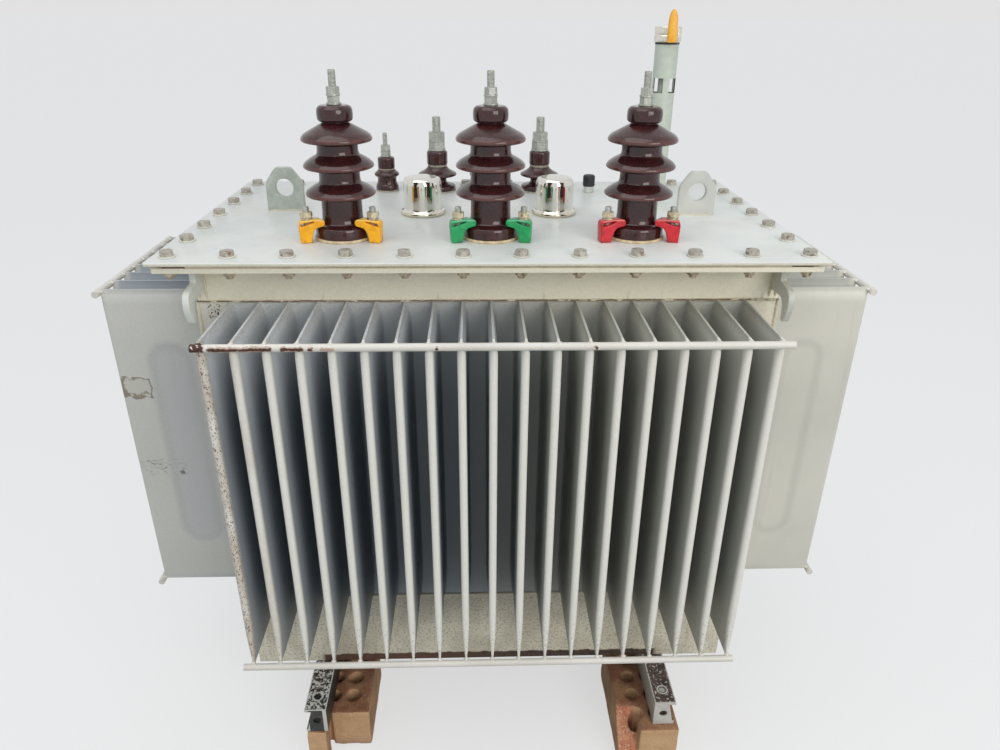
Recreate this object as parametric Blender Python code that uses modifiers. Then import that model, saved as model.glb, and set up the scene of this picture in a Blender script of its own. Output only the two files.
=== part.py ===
"""Oil-filled distribution transformer with a corrugated-fin tank, standing on hollow bricks.

Metres, +Z up. The origin is on the ground below the middle of the tank; X runs along
the long side of the tank and the high-voltage bushings stand near its -Y side.
"""

import math

import bmesh
import bpy
from mathutils import Matrix

# Clearances
seat_gap = 0.0003
cut_overrun = 0.004
weld_distance = 0.00001
axis_merge = 0.00005

# Brick stand
brick_width = 0.1135
brick_length = 0.220
brick_height = 0.090
brick_hole = 0.028
brick_hole_pitch = 0.045
brick_hole_count = 4
brick_row_spacing = 0.038
# how far each brick's middle lies inside the middle of its rail
left_brick_inset = 0.0355
right_brick_inset = 0.0275
# how far each brick stands out past the end of its rail
left_brick_toe = 0.003
right_brick_toe = 0.0145
# both front bricks have lost a corner: how deep, and how steep the broken face is
left_break_depth = 0.044
left_break_slope = math.radians(90)
right_break_depth = 0.0635
right_break_slope = math.radians(46)

# Base rails
rail_gauge = 0.654
rail_width = 0.040
rail_height = 0.055
rail_wall = 0.005
rail_overhang = 0.120
rail_deck_hole = 0.014
rail_deck_hole_inset = 0.032
rail_tow_hole = 0.016
rail_end_plate = 0.006
rail_end_plate_top_share = 0.68

# Tank
tank_length = 0.914
tank_depth = 0.434
tank_plate = 0.006
base_height = 0.1655
panel_height = 0.5915
rim_height = 0.074
flange_thickness = 0.0084
flange_side = 0.035
flange_front = 0.065
lid_gasket_thickness = 0.005
lid_gasket_inset = 0.006
lid_gasket_width = 0.024
lid_thickness = 0.0053
lid_overhang_side = 0.0073
lid_overhang_front = 0.0098
lid_corner = 0.004

# Corrugated cooling walls
fin_pitch = 0.045
long_wall_fins = 19
short_wall_fins = 8
long_wall_fin_depth = 0.166
short_wall_fin_depth = 0.176
fin_thickness = 0.012
fin_edge = 0.0035
fin_sheet = 0.0015
fin_slit = 0.001
fin_nose = 0.0045
fin_pinch_top = 0.022
fin_pinch_bottom = 0.085
tie_rod_diameter = 0.0115
tie_rod_bite = 0.0012
tie_rod_overhang = 0.006
tie_rod_top_drop = 0.006
tie_rod_bottom_drop = 0.002
tie_rod_sides = 8

# Sling hooks below the rim at the four tank corners
hook_plate = 0.010
hook_inset = 0.0055
hook_reach = 0.077
hook_drop = 0.079

# Lifting lugs on the lid
lug_plate = 0.011
lug_width = 0.066
lug_height = 0.076
lug_eye = 0.032
lug_eye_height = 0.0405
left_lug_inset = 0.0934
left_lug_y = 0.033
right_lug_inset = 0.087
right_lug_y = 0.0

# High-voltage bushings and their clamps
hv_pitch = 0.2333
hv_setback = 0.0678
hv_height = 0.200
hv_seal_diameter = 0.090
hv_seal_height = 0.003
hv_base_diameter = 0.087
hv_base_height = 0.0232
hv_base_round = 0.0038
hv_base_fillet = 0.0013
hv_core_diameter = 0.064
hv_shed_diameter = 0.109
hv_shed_pitch = 0.042
hv_first_shed = 0.0716
hv_shed_lip = 0.0045
hv_shed_rise = 0.016
hv_top_shed = 0.153
hv_top_shed_rise = 0.0215
hv_neck_diameter = 0.039
hv_cap_diameter = 0.053
hv_cap_height = 0.026
hv_stud_diameter = 0.012
hv_stud_height = 0.0485
hv_nut_width = 0.017
hv_nut_height = 0.010
hv_washer_diameter = 0.0225
hv_washer_height = 0.0026
nut_turn = math.radians(17)
clamp_bolt_clearance = 0.0155
clamp_width = 0.020
clamp_height = 0.036
clamp_back = 0.0131
clamp_nose_share = 0.14
clamp_nose_clearance_share = 0.14
# from the foot by the bolt round to the shoulder, as shares of the back's depth and the height
clamp_back_shares = ((-0.40, 0.0), (0.89, 0.0), (1.0, 0.74), (0.70, 1.0))
# from below the nose down to the foot, as shares of the reach and the height
clamp_throat_shares = ((0.46, 0.65), (0.34, 0.42))
clamp_turn = math.radians(10)

# Low-voltage bushings
lv_setback = 0.011
lv_pitch = 0.102
lv_middle_x = 0.003
lv_neutral_x = -0.2005
lv_height = 0.078
lv_diameter = 0.076
lv_stud_diameter = 0.017
lv_stud_height = 0.0632
lv_nut_width = 0.028
lv_nut_height = 0.0145
lv_washer_diameter = 0.034
lv_washer_height = 0.003
neutral_height = 0.0655
neutral_diameter = 0.050
neutral_stud_diameter = 0.0095
neutral_stud_height = 0.0452
neutral_nut_width = 0.0165
neutral_nut_height = 0.009
neutral_washer_diameter = 0.020
neutral_washer_height = 0.002

# Fittings on the lid
dome_cap_x = 0.117
dome_cap_y = 0.010
dome_cap_diameter = 0.067
dome_cap_height = 0.065
dome_cap_foot_diameter = 0.079
dome_cap_foot_height = 0.007
dome_cap_round = 0.010
pocket_x = 0.204
pocket_setback = 0.029
pocket_stem_diameter = 0.020
pocket_stem_height = 0.012
pocket_cap_diameter = 0.024
pocket_cap_height = 0.022
pocket_cap_edge_share = 0.12
gauge_inset = 0.122
gauge_setback = 0.034
gauge_diameter = 0.0435
gauge_wall = 0.002
gauge_height = 0.278
gauge_foot_diameter = 0.052
gauge_foot_height = 0.006
gauge_window_width = 0.020
gauge_window_height = 0.026
gauge_window_level = 0.203
gauge_head_diameter = 0.050
gauge_head_height = 0.027
gauge_head_edge_share = 0.1
gauge_pointer_width = 0.016
gauge_pointer_height = 0.055
gauge_pointer_depth = 0.012
gauge_window_turn = math.radians(43)

# Levels that follow from the sizes above
rail_level = brick_height
tank_level = rail_level + rail_height
panel_level = tank_level + base_height
rim_level = panel_level + panel_height
flange_top = rim_level + rim_height
lid_level = flange_top + lid_gasket_thickness
deck = lid_level + lid_thickness

rail_length = tank_depth + 2 * rail_overhang
hv_y = hv_setback - tank_depth / 2
lv_y = tank_depth / 2 - lv_setback
pocket_y = tank_depth / 2 - pocket_setback
gauge_x = tank_length / 2 - gauge_inset
gauge_y = tank_depth / 2 - gauge_setback
clamp_circle = hv_base_diameter / 2 + clamp_bolt_clearance
clamp_reach = clamp_circle - hv_core_diameter / 2 - clamp_width * clamp_nose_clearance_share

scene_collection = bpy.context.scene.collection
model = None
guides = None


def start_scene():
    """An empty scene with one collection for the model and one for its cutters."""
    global model, guides
    for old in list(bpy.data.objects):
        bpy.data.objects.remove(old, do_unlink=True)
    model = bpy.data.collections.new("power_transformer")
    guides = bpy.data.collections.new("cutters")
    scene_collection.children.link(model)
    scene_collection.children.link(guides)


def material(name, colour, roughness, metallic):
    found = bpy.data.materials.get(name)
    if found:
        return found
    made = bpy.data.materials.new(name)
    made.use_nodes = True
    shader = made.node_tree.nodes["Principled BSDF"]
    shader.inputs["Base Color"].default_value = (*colour, 1.0)
    shader.inputs["Roughness"].default_value = roughness
    shader.inputs["Metallic"].default_value = metallic
    made.diffuse_color = (*colour, 1.0)
    return made


def paint(name):
    return material(name, (0.62, 0.61, 0.56), 0.45, 0.0)


def lid_paint(name):
    return material(name, (0.66, 0.69, 0.69), 0.4, 0.0)


def zinc(name):
    return material(name, (0.52, 0.50, 0.46), 0.45, 0.9)


def porcelain(name):
    return material(name, (0.055, 0.018, 0.016), 0.12, 0.0)


def chrome(name):
    return material(name, (0.8, 0.8, 0.8), 0.08, 1.0)


def rubber(name):
    return material(name, (0.03, 0.03, 0.03), 0.7, 0.0)


def clay(name):
    return material(name, (0.50, 0.27, 0.17), 0.9, 0.0)


def dark_steel(name):
    return material(name, (0.06, 0.075, 0.07), 0.55, 0.0)


clamp_colours = {
    "left": (0.92, 0.45, 0.01),
    "centre": (0.01, 0.27, 0.08),
    "right": (0.60, 0.02, 0.03),
}


def add_object(name, mesh, finish, parent=None):
    """A piece of the model: its mesh, its material and an optional parent."""
    piece = bpy.data.objects.new(name, mesh)
    model.objects.link(piece)
    mesh.materials.clear()
    mesh.materials.append(finish)
    if parent:
        piece.parent = parent
    return piece


def add_cutter(name, mesh, parent=None):
    cutter = bpy.data.objects.new(name, mesh)
    guides.objects.link(cutter)
    cutter.hide_render = True
    cutter.display_type = "WIRE"
    if parent:
        cutter.parent = parent
    return cutter


def combine(piece, other, operation):
    boolean = piece.modifiers.new(other.name, "BOOLEAN")
    boolean.operation = operation
    boolean.solver = "EXACT"
    boolean.object = other


def smooth(piece, angle=math.radians(40)):
    piece.data.shade_smooth()
    piece.data.set_sharp_from_angle(angle=angle)


def finished_mesh(name, form):
    mesh = bpy.data.meshes.new(name)
    form.to_mesh(mesh)
    form.free()
    return mesh


def box_form(low, high):
    """A bmesh box between two corners."""
    form = bmesh.new()
    bmesh.ops.create_cube(form, size=1.0)
    size = [top - bottom for bottom, top in zip(low, high)]
    middle = [(bottom + top) / 2 for bottom, top in zip(low, high)]
    bmesh.ops.transform(form, matrix=Matrix.LocRotScale(middle, None, size), verts=form.verts)
    return form


def box_mesh(name, low, high):
    return finished_mesh(name, box_form(low, high))


def rod_form(radius, length, sides, axis="Z"):
    """A bmesh cylinder centred on the origin, along the named axis."""
    form = bmesh.new()
    bmesh.ops.create_cone(
        form, cap_ends=True, segments=sides, radius1=radius, radius2=radius, depth=length
    )
    if axis != "Z":
        turn = Matrix.Rotation(math.pi / 2, 3, "Y" if axis == "X" else "X")
        bmesh.ops.rotate(form, matrix=turn, verts=form.verts)
    return form


def circle(radius, centre=(0.0, 0.0), sides=16):
    return [
        (
            centre[0] + radius * math.cos(math.tau * step / sides),
            centre[1] + radius * math.sin(math.tau * step / sides),
        )
        for step in range(sides)
    ]


def arc(centre, radius, start, end, steps=4):
    """Points along an arc, angles in degrees."""
    turns = [math.radians(start + (end - start) * step / steps) for step in range(steps + 1)]
    return [(centre[0] + radius * math.cos(t), centre[1] + radius * math.sin(t)) for t in turns]


def rectangle(half_x, half_y):
    return [(-half_x, -half_y), (half_x, -half_y), (half_x, half_y), (-half_x, half_y)]


def outline_mesh(name, loops, thickness):
    """A flat plate from closed outlines in XY; an outline inside another is a hole."""
    flat = bpy.data.curves.new(name, "CURVE")
    flat.dimensions = "2D"
    flat.fill_mode = "BOTH"
    flat.extrude = thickness / 2
    for loop in loops:
        spline = flat.splines.new("POLY")
        spline.points.add(len(loop) - 1)
        for point, (x, y) in zip(spline.points, loop):
            point.co = (x, y, 0.0, 1.0)
        spline.use_cyclic_u = True
    guide = bpy.data.objects.new(name, flat)
    guides.objects.link(guide)
    graph = bpy.context.evaluated_depsgraph_get()
    mesh = bpy.data.meshes.new_from_object(guide.evaluated_get(graph))
    bpy.data.objects.remove(guide, do_unlink=True)
    form = bmesh.new()
    form.from_mesh(mesh)
    bmesh.ops.remove_doubles(form, verts=form.verts, dist=weld_distance)
    form.to_mesh(mesh)
    form.free()
    return mesh


def turned(name, profile, finish, steps=16):
    """A piece turned about Z from (radius, height) points that run from top to bottom."""
    mesh = bpy.data.meshes.new(name)
    points = [(radius, 0.0, height) for radius, height in profile]
    mesh.from_pydata(points, [(i, i + 1) for i in range(len(points) - 1)], [])
    piece = add_object(name, mesh, finish)
    screw = piece.modifiers.new("turn", "SCREW")
    screw.axis = "Z"
    screw.steps = steps
    screw.render_steps = steps
    screw.use_merge_vertices = True
    screw.merge_threshold = axis_merge
    screw.use_smooth_shade = True
    return piece


def brick_mesh():
    """A brick pierced by two rows of upright holes."""
    first = -brick_hole_pitch * (brick_hole_count - 1) / 2
    holes = [
        circle(brick_hole / 2, (side * brick_row_spacing / 2, first + brick_hole_pitch * step), sides=8)
        for side in (-1, 1)
        for step in range(brick_hole_count)
    ]
    return outline_mesh("brick", [rectangle(brick_width / 2, brick_length / 2), *holes], brick_height)


def break_corner(brick, low_x, high_x, depth, slope):
    """Breaks off a front corner between two X places, on a slope that starts this deep at the top."""
    block = box_mesh("break", (low_x, -brick_length, 0.0), (high_x, brick_length, brick_length))
    cutter = add_cutter(f"{brick.name}_break", block, brick)
    cutter.location = (0.0, depth - brick_length / 2, brick_height / 2)
    cutter.rotation_euler.x = slope
    combine(brick, cutter, "DIFFERENCE")


def build_bricks():
    """A brick under each end of each rail; both front ones are broken through a row of holes."""
    rail_toe = tank_depth / 2 + rail_overhang
    bricks = {}
    for side, hand, inset, toe in (
        ("left", -1, left_brick_inset, left_brick_toe),
        ("right", 1, right_brick_inset, right_brick_toe),
    ):
        x = hand * (rail_gauge / 2 - inset)
        y = rail_toe + toe - brick_length / 2
        for end, way in (("front", -1), ("back", 1)):
            name = f"brick_{end}_{side}"
            bricks[name] = add_object(name, brick_mesh(), clay(name))
            bricks[name].location = (x, way * y, brick_height / 2)
    row = -brick_row_spacing / 2
    edge = brick_width / 2 + cut_overrun
    break_corner(bricks["brick_front_left"], row, edge, left_break_depth, left_break_slope)
    break_corner(bricks["brick_front_right"], -edge, row, right_break_depth, right_break_slope)


def build_rails():
    """Channel rails, web inwards, with a pierced plate across each end."""
    half_width = rail_width / 2
    top = rail_height - seat_gap
    channel = [
        (-half_width, seat_gap),
        (half_width, seat_gap),
        (half_width, rail_wall + seat_gap),
        (rail_wall - half_width, rail_wall + seat_gap),
        (rail_wall - half_width, top - rail_wall),
        (half_width, top - rail_wall),
        (half_width, top),
        (-half_width, top),
    ]
    plate_foot = half_width - rail_wall / 2
    plate_head = rail_width * rail_end_plate_top_share - half_width
    end_plate = [
        (rail_wall / 2 - half_width, rail_wall / 2 + seat_gap),
        (plate_foot, rail_wall / 2 + seat_gap),
        (plate_head, top - rail_wall / 2),
        (rail_wall / 2 - half_width, top - rail_wall / 2),
    ]
    stand_up = Matrix.Rotation(math.pi / 2, 4, "X")
    channel_mesh = outline_mesh("rail_channel", [channel], rail_length)
    channel_mesh.transform(stand_up)
    plate_mesh = outline_mesh("rail_end_plate", [end_plate], rail_end_plate)
    plate_mesh.transform(stand_up)
    deck_hole_y = rail_length / 2 - rail_deck_hole_inset
    for side, hand in (("left", -1), ("right", 1)):
        name = f"rail_{side}"
        rail = add_object(name, channel_mesh.copy(), dark_steel(name))
        rail.location = (hand * rail_gauge / 2, 0.0, rail_level)
        if hand < 0:
            rail.rotation_euler.z = math.pi
        for end in (-1, 1):
            plate = add_cutter(f"{name}_plate_{end}", plate_mesh.copy(), rail)
            plate.location.y = end * (rail_length - rail_end_plate) / 2
            combine(rail, plate, "UNION")
        for end in (-1, 1):
            tow = rod_form(rail_tow_hole / 2, rail_end_plate + 2 * cut_overrun, 10, "Y")
            hole = add_cutter(f"{name}_tow_{end}", finished_mesh("tow_hole", tow), rail)
            hole.location = (-rail_wall / 2, end * (rail_length - rail_end_plate) / 2, rail_height / 2)
            combine(rail, hole, "DIFFERENCE")
            bolt = rod_form(rail_deck_hole / 2, rail_wall + 2 * cut_overrun, 10)
            hole = add_cutter(f"{name}_deck_{end}", finished_mesh("deck_hole", bolt), rail)
            hole.location = (0.0, end * deck_hole_y, top - rail_wall / 2)
            combine(rail, hole, "DIFFERENCE")


def build_tank_base():
    """The plain lower band of the tank and its floor, open at the top."""
    form = box_form(
        (-tank_length / 2, -tank_depth / 2, tank_level),
        (tank_length / 2, tank_depth / 2, panel_level),
    )
    roof = max(form.faces, key=lambda face: face.calc_center_median().z)
    bmesh.ops.delete(form, geom=[roof], context="FACES_ONLY")
    name = "tank_base"
    base = add_object(name, finished_mesh(name, form), paint(name))
    shell = base.modifiers.new("plate", "SOLIDIFY")
    shell.thickness = tank_plate
    shell.offset = -1.0
    shell.use_even_offset = True
    shell.use_rim = True


def fin_form(depth, root, thickness, height, edge, pinches, nose):
    """One cooling fin: a pressed pocket with an eased nose, pinched flat at the levels' far ends."""
    form = box_form((-thickness / 2, -depth, 0.0), (thickness / 2, root, height))
    front = [
        rim for rim in form.edges
        if all(abs(corner.co.y + depth) < weld_distance for corner in rim.verts)
        and abs(rim.verts[0].co.z - rim.verts[1].co.z) > weld_distance
    ]
    if nose > 0.0:
        bmesh.ops.bevel(form, geom=front, offset=nose, segments=1, affect="EDGES")
    bottom_pinch, top_pinch = pinches
    for level in (bottom_pinch, height - top_pinch):
        if weld_distance < level < height - weld_distance:
            everything = form.verts[:] + form.edges[:] + form.faces[:]
            bmesh.ops.bisect_plane(
                form, geom=everything, plane_co=(0.0, 0.0, level), plane_no=(0.0, 0.0, 1.0)
            )
    for corner in form.verts:
        at_foot = bottom_pinch > 0.0 and corner.co.z < weld_distance
        at_head = top_pinch > 0.0 and corner.co.z > height - weld_distance
        if at_foot or at_head:
            corner.co.x *= edge / thickness
    return form


def fin_row(name, count, lift, **sizes):
    """A row of like fins at the fin pitch, joined in one mesh."""
    single = fin_form(**sizes)
    single.to_mesh(mesh := bpy.data.meshes.new(name))
    single.free()
    row = bmesh.new()
    for number in range(count):
        start = len(row.verts)
        row.from_mesh(mesh)
        row.verts.ensure_lookup_table()
        shift = ((number - (count - 1) / 2) * fin_pitch, 0.0, lift)
        bmesh.ops.translate(row, vec=shift, verts=row.verts[start:])
    bpy.data.meshes.remove(mesh)
    return finished_mesh(name, row)


def pocket_inset():
    """How far above a fin's foot its pocket starts: where the two sheets leave a slit."""
    slit_share = (2 * fin_sheet + fin_slit - fin_edge) / (fin_thickness - fin_edge)
    return fin_pinch_bottom * slit_share


def build_fin_wall(name, length, count, depth, place, turn):
    """A corrugated wall: hollow fins that open into the tank, with tie rods on their noses."""
    height = panel_height - seat_gap
    half = length / 2
    wall = add_object(
        name, box_mesh(name, (-half, 0.0, 0.0), (half, fin_sheet, height)), paint(name)
    )
    wall.location = (*place, panel_level + seat_gap)
    wall.rotation_euler.z = turn
    fins = fin_row(
        f"{name}_fins", count, 0.0,
        depth=depth, root=fin_sheet / 2, thickness=fin_thickness, height=height, edge=fin_edge,
        pinches=(fin_pinch_bottom, fin_pinch_top), nose=fin_nose,
    )
    combine(wall, add_cutter(f"{name}_fins", fins, wall), "UNION")
    inset = pocket_inset()
    pockets = fin_row(
        f"{name}_pockets", count, inset,
        depth=depth - fin_nose, root=fin_sheet + cut_overrun,
        thickness=fin_thickness - 2 * fin_sheet, height=height - fin_pinch_top - inset,
        edge=fin_slit, pinches=(fin_pinch_bottom - inset, 0.0), nose=0.0,
    )
    combine(wall, add_cutter(f"{name}_pockets", pockets, wall), "DIFFERENCE")
    rod_length = (count - 1) * fin_pitch + fin_thickness + 2 * tie_rod_overhang
    rod_y = tie_rod_bite - depth - tie_rod_diameter / 2
    for end, rod_z in (("top", height - tie_rod_top_drop), ("bottom", -tie_rod_bottom_drop)):
        form = rod_form(tie_rod_diameter / 2, rod_length, tie_rod_sides, "X")
        rod = add_cutter(f"{name}_{end}_rod", finished_mesh("tie_rod", form), wall)
        rod.location = (0.0, rod_y, rod_z)
        combine(wall, rod, "UNION")


def build_fin_walls():
    long_half = tank_depth / 2
    short_half = tank_length / 2
    short_length = tank_depth - 2 * (fin_sheet + seat_gap)
    quarter = math.pi / 2
    for name, length, count, depth, place, turn in (
        ("fin_wall_front", tank_length, long_wall_fins, long_wall_fin_depth, (0.0, -long_half), 0.0),
        ("fin_wall_back", tank_length, long_wall_fins, long_wall_fin_depth, (0.0, long_half), math.pi),
        ("fin_wall_left", short_length, short_wall_fins, short_wall_fin_depth, (-short_half, 0.0), -quarter),
        ("fin_wall_right", short_length, short_wall_fins, short_wall_fin_depth, (short_half, 0.0), quarter),
    ):
        build_fin_wall(name, length, count, depth, place, turn)


def build_tank_rim():
    """The plain upper band of the tank, with the flange that carries the lid."""
    name = "tank_rim"
    half_x = tank_length / 2
    half_y = tank_depth / 2
    bottom = rim_level + seat_gap
    rim = add_object(
        name, box_mesh(name, (-half_x, -half_y, bottom), (half_x, half_y, flange_top)), paint(name)
    )
    flange = box_mesh(
        "flange",
        (-half_x - flange_side, -half_y - flange_front, flange_top - flange_thickness),
        (half_x + flange_side, half_y + flange_front, flange_top),
    )
    combine(rim, add_cutter("tank_rim_flange", flange), "UNION")
    opening = box_mesh(
        "opening",
        (tank_plate - half_x, tank_plate - half_y, bottom - cut_overrun),
        (half_x - tank_plate, half_y - tank_plate, flange_top + cut_overrun),
    )
    combine(rim, add_cutter("tank_rim_opening", opening), "DIFFERENCE")


def build_lid():
    """The lid plate and the sealing strip between it and the flange."""
    seal_x = tank_length / 2 + flange_side - lid_gasket_inset
    seal_y = tank_depth / 2 + flange_front - lid_gasket_inset
    inner = (seal_x - lid_gasket_width, seal_y - lid_gasket_width)
    thickness = lid_gasket_thickness - 2 * seat_gap
    name = "lid_gasket"
    mesh = outline_mesh(name, [rectangle(seal_x, seal_y), rectangle(*inner)], thickness)
    gasket = add_object(name, mesh, rubber(name))
    gasket.location.z = flange_top + lid_gasket_thickness / 2
    half_x = tank_length / 2 + flange_side + lid_overhang_side
    half_y = tank_depth / 2 + flange_front + lid_overhang_front
    name = "lid"
    form = box_form((-half_x, -half_y, lid_level), (half_x, half_y, deck))
    corners = [edge for edge in form.edges if abs(edge.verts[0].co.z - edge.verts[1].co.z) > 0.0]
    bmesh.ops.bevel(form, geom=corners, offset=lid_corner, segments=3, profile=0.5, affect="EDGES")
    add_object(name, finished_mesh(name, form), lid_paint(name))


def build_hooks():
    """Sling hooks welded below the flange: the notch opens downwards behind the tip."""
    outline_shares = (
        (0.0, 0.0), (0.44, 0.0), (0.44, -0.29), (0.86, -0.34), (0.95, -0.40), (1.0, -0.54),
        (0.98, -0.72), (0.87, -0.96), (0.79, -1.0), (0.71, -0.95),
        (0.72, -0.78), (0.66, -0.62), (0.58, -0.57), (0.12, -0.58), (0.0, -0.62),
    )
    outline = [(out * hook_reach, down * hook_drop) for out, down in outline_shares]
    mesh = outline_mesh("hook", [outline], hook_plate)
    # the outline's X is the way out of the wall and its Y is up
    mesh.transform(Matrix.Rotation(math.pi / 2, 4, "Z") @ Matrix.Rotation(math.pi / 2, 4, "X"))
    for end, way in (("front", -1), ("back", 1)):
        for side, hand in (("left", -1), ("right", 1)):
            name = f"hook_{end}_{side}"
            hook = add_object(name, mesh.copy(), paint(name))
            x = tank_length / 2 - hook_inset - hook_plate / 2
            y = tank_depth / 2 + seat_gap
            hook.location = (hand * x, way * y, flange_top - flange_thickness - seat_gap)
            if way < 0:
                hook.rotation_euler.z = math.pi


def build_lugs():
    """Lifting lugs that stand on the lid, each with a round eye below a stepped head."""
    half = lug_width / 2
    outline_shares = (
        (-1.0, 0.0), (1.0, 0.0), (0.99, 0.60), (0.93, 0.69), (0.48, 0.96), (0.38, 1.0),
        (-0.38, 1.0), (-0.48, 0.96), (-0.93, 0.69), (-0.99, 0.60),
    )
    outline = [(across * half, up * lug_height) for across, up in outline_shares]
    eye = circle(lug_eye / 2, (0.0, lug_eye_height), sides=18)
    mesh = outline_mesh("lug", [outline, eye], lug_plate)
    mesh.transform(Matrix.Rotation(math.pi / 2, 4, "X"))
    end = tank_length / 2
    for side, x, y in (
        ("left", left_lug_inset - end, left_lug_y),
        ("right", end - right_lug_inset, right_lug_y),
    ):
        name = f"lifting_lug_{side}"
        lug = add_object(name, mesh.copy(), zinc(name) if side == "left" else paint(name))
        lug.location = (x, y, deck + seat_gap)


def shed_points(edge_height, root, rise):
    """Profile of one rain shed, from the root of its top slope round the lip to the core below."""
    lip = hv_shed_lip
    rim = arc((hv_shed_diameter / 2 - lip, edge_height), lip, 70, -90, steps=3)
    return [(root, edge_height + rise), *rim, (hv_core_diameter / 2, edge_height - 2 * lip)]


def hv_profile():
    """Whole porcelain of a high-voltage bushing, from the top of its cap to its seal."""
    core = hv_core_diameter / 2
    base = hv_base_diameter / 2
    neck = hv_neck_diameter / 2
    cap = hv_cap_diameter / 2
    cap_foot = hv_height - hv_cap_height
    cap_shares = ((0.78, 1.0), (0.96, 0.82), (1.0, 0.50), (0.84, 0.07))
    profile = [(0.0, hv_height)]
    profile += [(cap * out, cap_foot + hv_cap_height * up) for out, up in cap_shares]
    profile += [(neck, cap_foot)]
    profile += shed_points(hv_top_shed, neck, hv_top_shed_rise)
    profile += shed_points(hv_first_shed + hv_shed_pitch, core, hv_shed_rise)
    profile += shed_points(hv_first_shed, core, hv_shed_rise)
    round_off = hv_base_round
    profile += [
        (core, hv_base_height + round_off),
        (core + hv_base_fillet, hv_base_height),
        (base - round_off, hv_base_height),
        (base, hv_base_height - round_off),
        (base, hv_seal_height),
        (hv_seal_diameter / 2, hv_seal_height),
        (hv_seal_diameter / 2, 0.0),
        (0.0, 0.0),
    ]
    return profile


def raised(form, bottom, height):
    """Lifts a form that is centred on the origin until its foot is at the level given."""
    bmesh.ops.translate(form, vec=(0.0, 0.0, bottom + height / 2), verts=form.verts)
    return form


def terminal(name, place, stud, washer, nut, finish):
    """A threaded stud with two nuts, each on its washer, standing on a bushing."""
    stud_diameter, stud_height = stud
    washer_diameter, washer_height = washer
    nut_width, nut_height = nut
    form = raised(rod_form(stud_diameter / 2, stud_height, 8), 0.0, stud_height)
    piece = add_object(name, finished_mesh(name, form), finish)
    piece.location = place
    level = 0.0
    for number in range(2):
        ring = raised(rod_form(washer_diameter / 2, washer_height, 10), level, washer_height)
        cutter = add_cutter(f"{name}_washer_{number}", finished_mesh("washer", ring), piece)
        combine(piece, cutter, "UNION")
        level += washer_height - seat_gap
        blank = raised(rod_form(nut_width / math.sqrt(3), nut_height, 6), level, nut_height)
        cutter = add_cutter(f"{name}_nut_{number}", finished_mesh("nut", blank), piece)
        cutter.rotation_euler.z = nut_turn * (number + 1)
        combine(piece, cutter, "UNION")
        level += nut_height - seat_gap
    return piece


def clamp_mesh():
    """A claw seen from its side: X points away from the bushing, Y is up, the bolt is at X = 0."""
    nose = clamp_height * clamp_nose_share
    nose_x = nose - clamp_reach
    nose_y = hv_base_height + seat_gap + nose
    outline = [
        *((clamp_back * out, clamp_height * up) for out, up in clamp_back_shares),
        (nose_x, nose_y + nose),
        *arc((nose_x, nose_y), nose, 120, 270, steps=5),
        *((-clamp_reach * inward, clamp_height * up) for inward, up in clamp_throat_shares),
    ]
    mesh = outline_mesh("clamp", [outline], clamp_width)
    mesh.transform(Matrix.Rotation(math.pi / 2, 4, "X"))
    return mesh


def build_clamps(phase, x):
    """Three claws round the foot of a bushing, two in front and one behind."""
    colour = clamp_colours[phase]
    places = (
        ("front_left", math.radians(210), math.pi + clamp_turn),
        ("front_right", math.radians(330), -clamp_turn),
        ("back", math.radians(90), math.radians(90)),
    )
    for where, bearing, turn in places:
        name = f"clamp_{phase}_{where}"
        claw = add_object(name, clamp_mesh(), material(name, colour, 0.4, 0.0))
        claw.location = (
            x + clamp_circle * math.cos(bearing),
            hv_y + clamp_circle * math.sin(bearing),
            deck + seat_gap,
        )
        claw.rotation_euler.z = turn


def build_hv_bushings():
    for step, phase in enumerate(("left", "centre", "right")):
        x = (step - 1) * hv_pitch
        name = f"hv_bushing_{phase}"
        bushing = turned(name, hv_profile(), porcelain(name))
        bushing.location = (x, hv_y, deck + seat_gap)
        name = f"hv_terminal_{phase}"
        terminal(
            name, (x, hv_y, deck + hv_height + 2 * seat_gap), (hv_stud_diameter, hv_stud_height),
            (hv_washer_diameter, hv_washer_height), (hv_nut_width, hv_nut_height), zinc(name),
        )
        build_clamps(phase, x)


def lv_profile(height, diameter, shares):
    return [(diameter / 2 * out, height * up) for out, up in shares]


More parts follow.
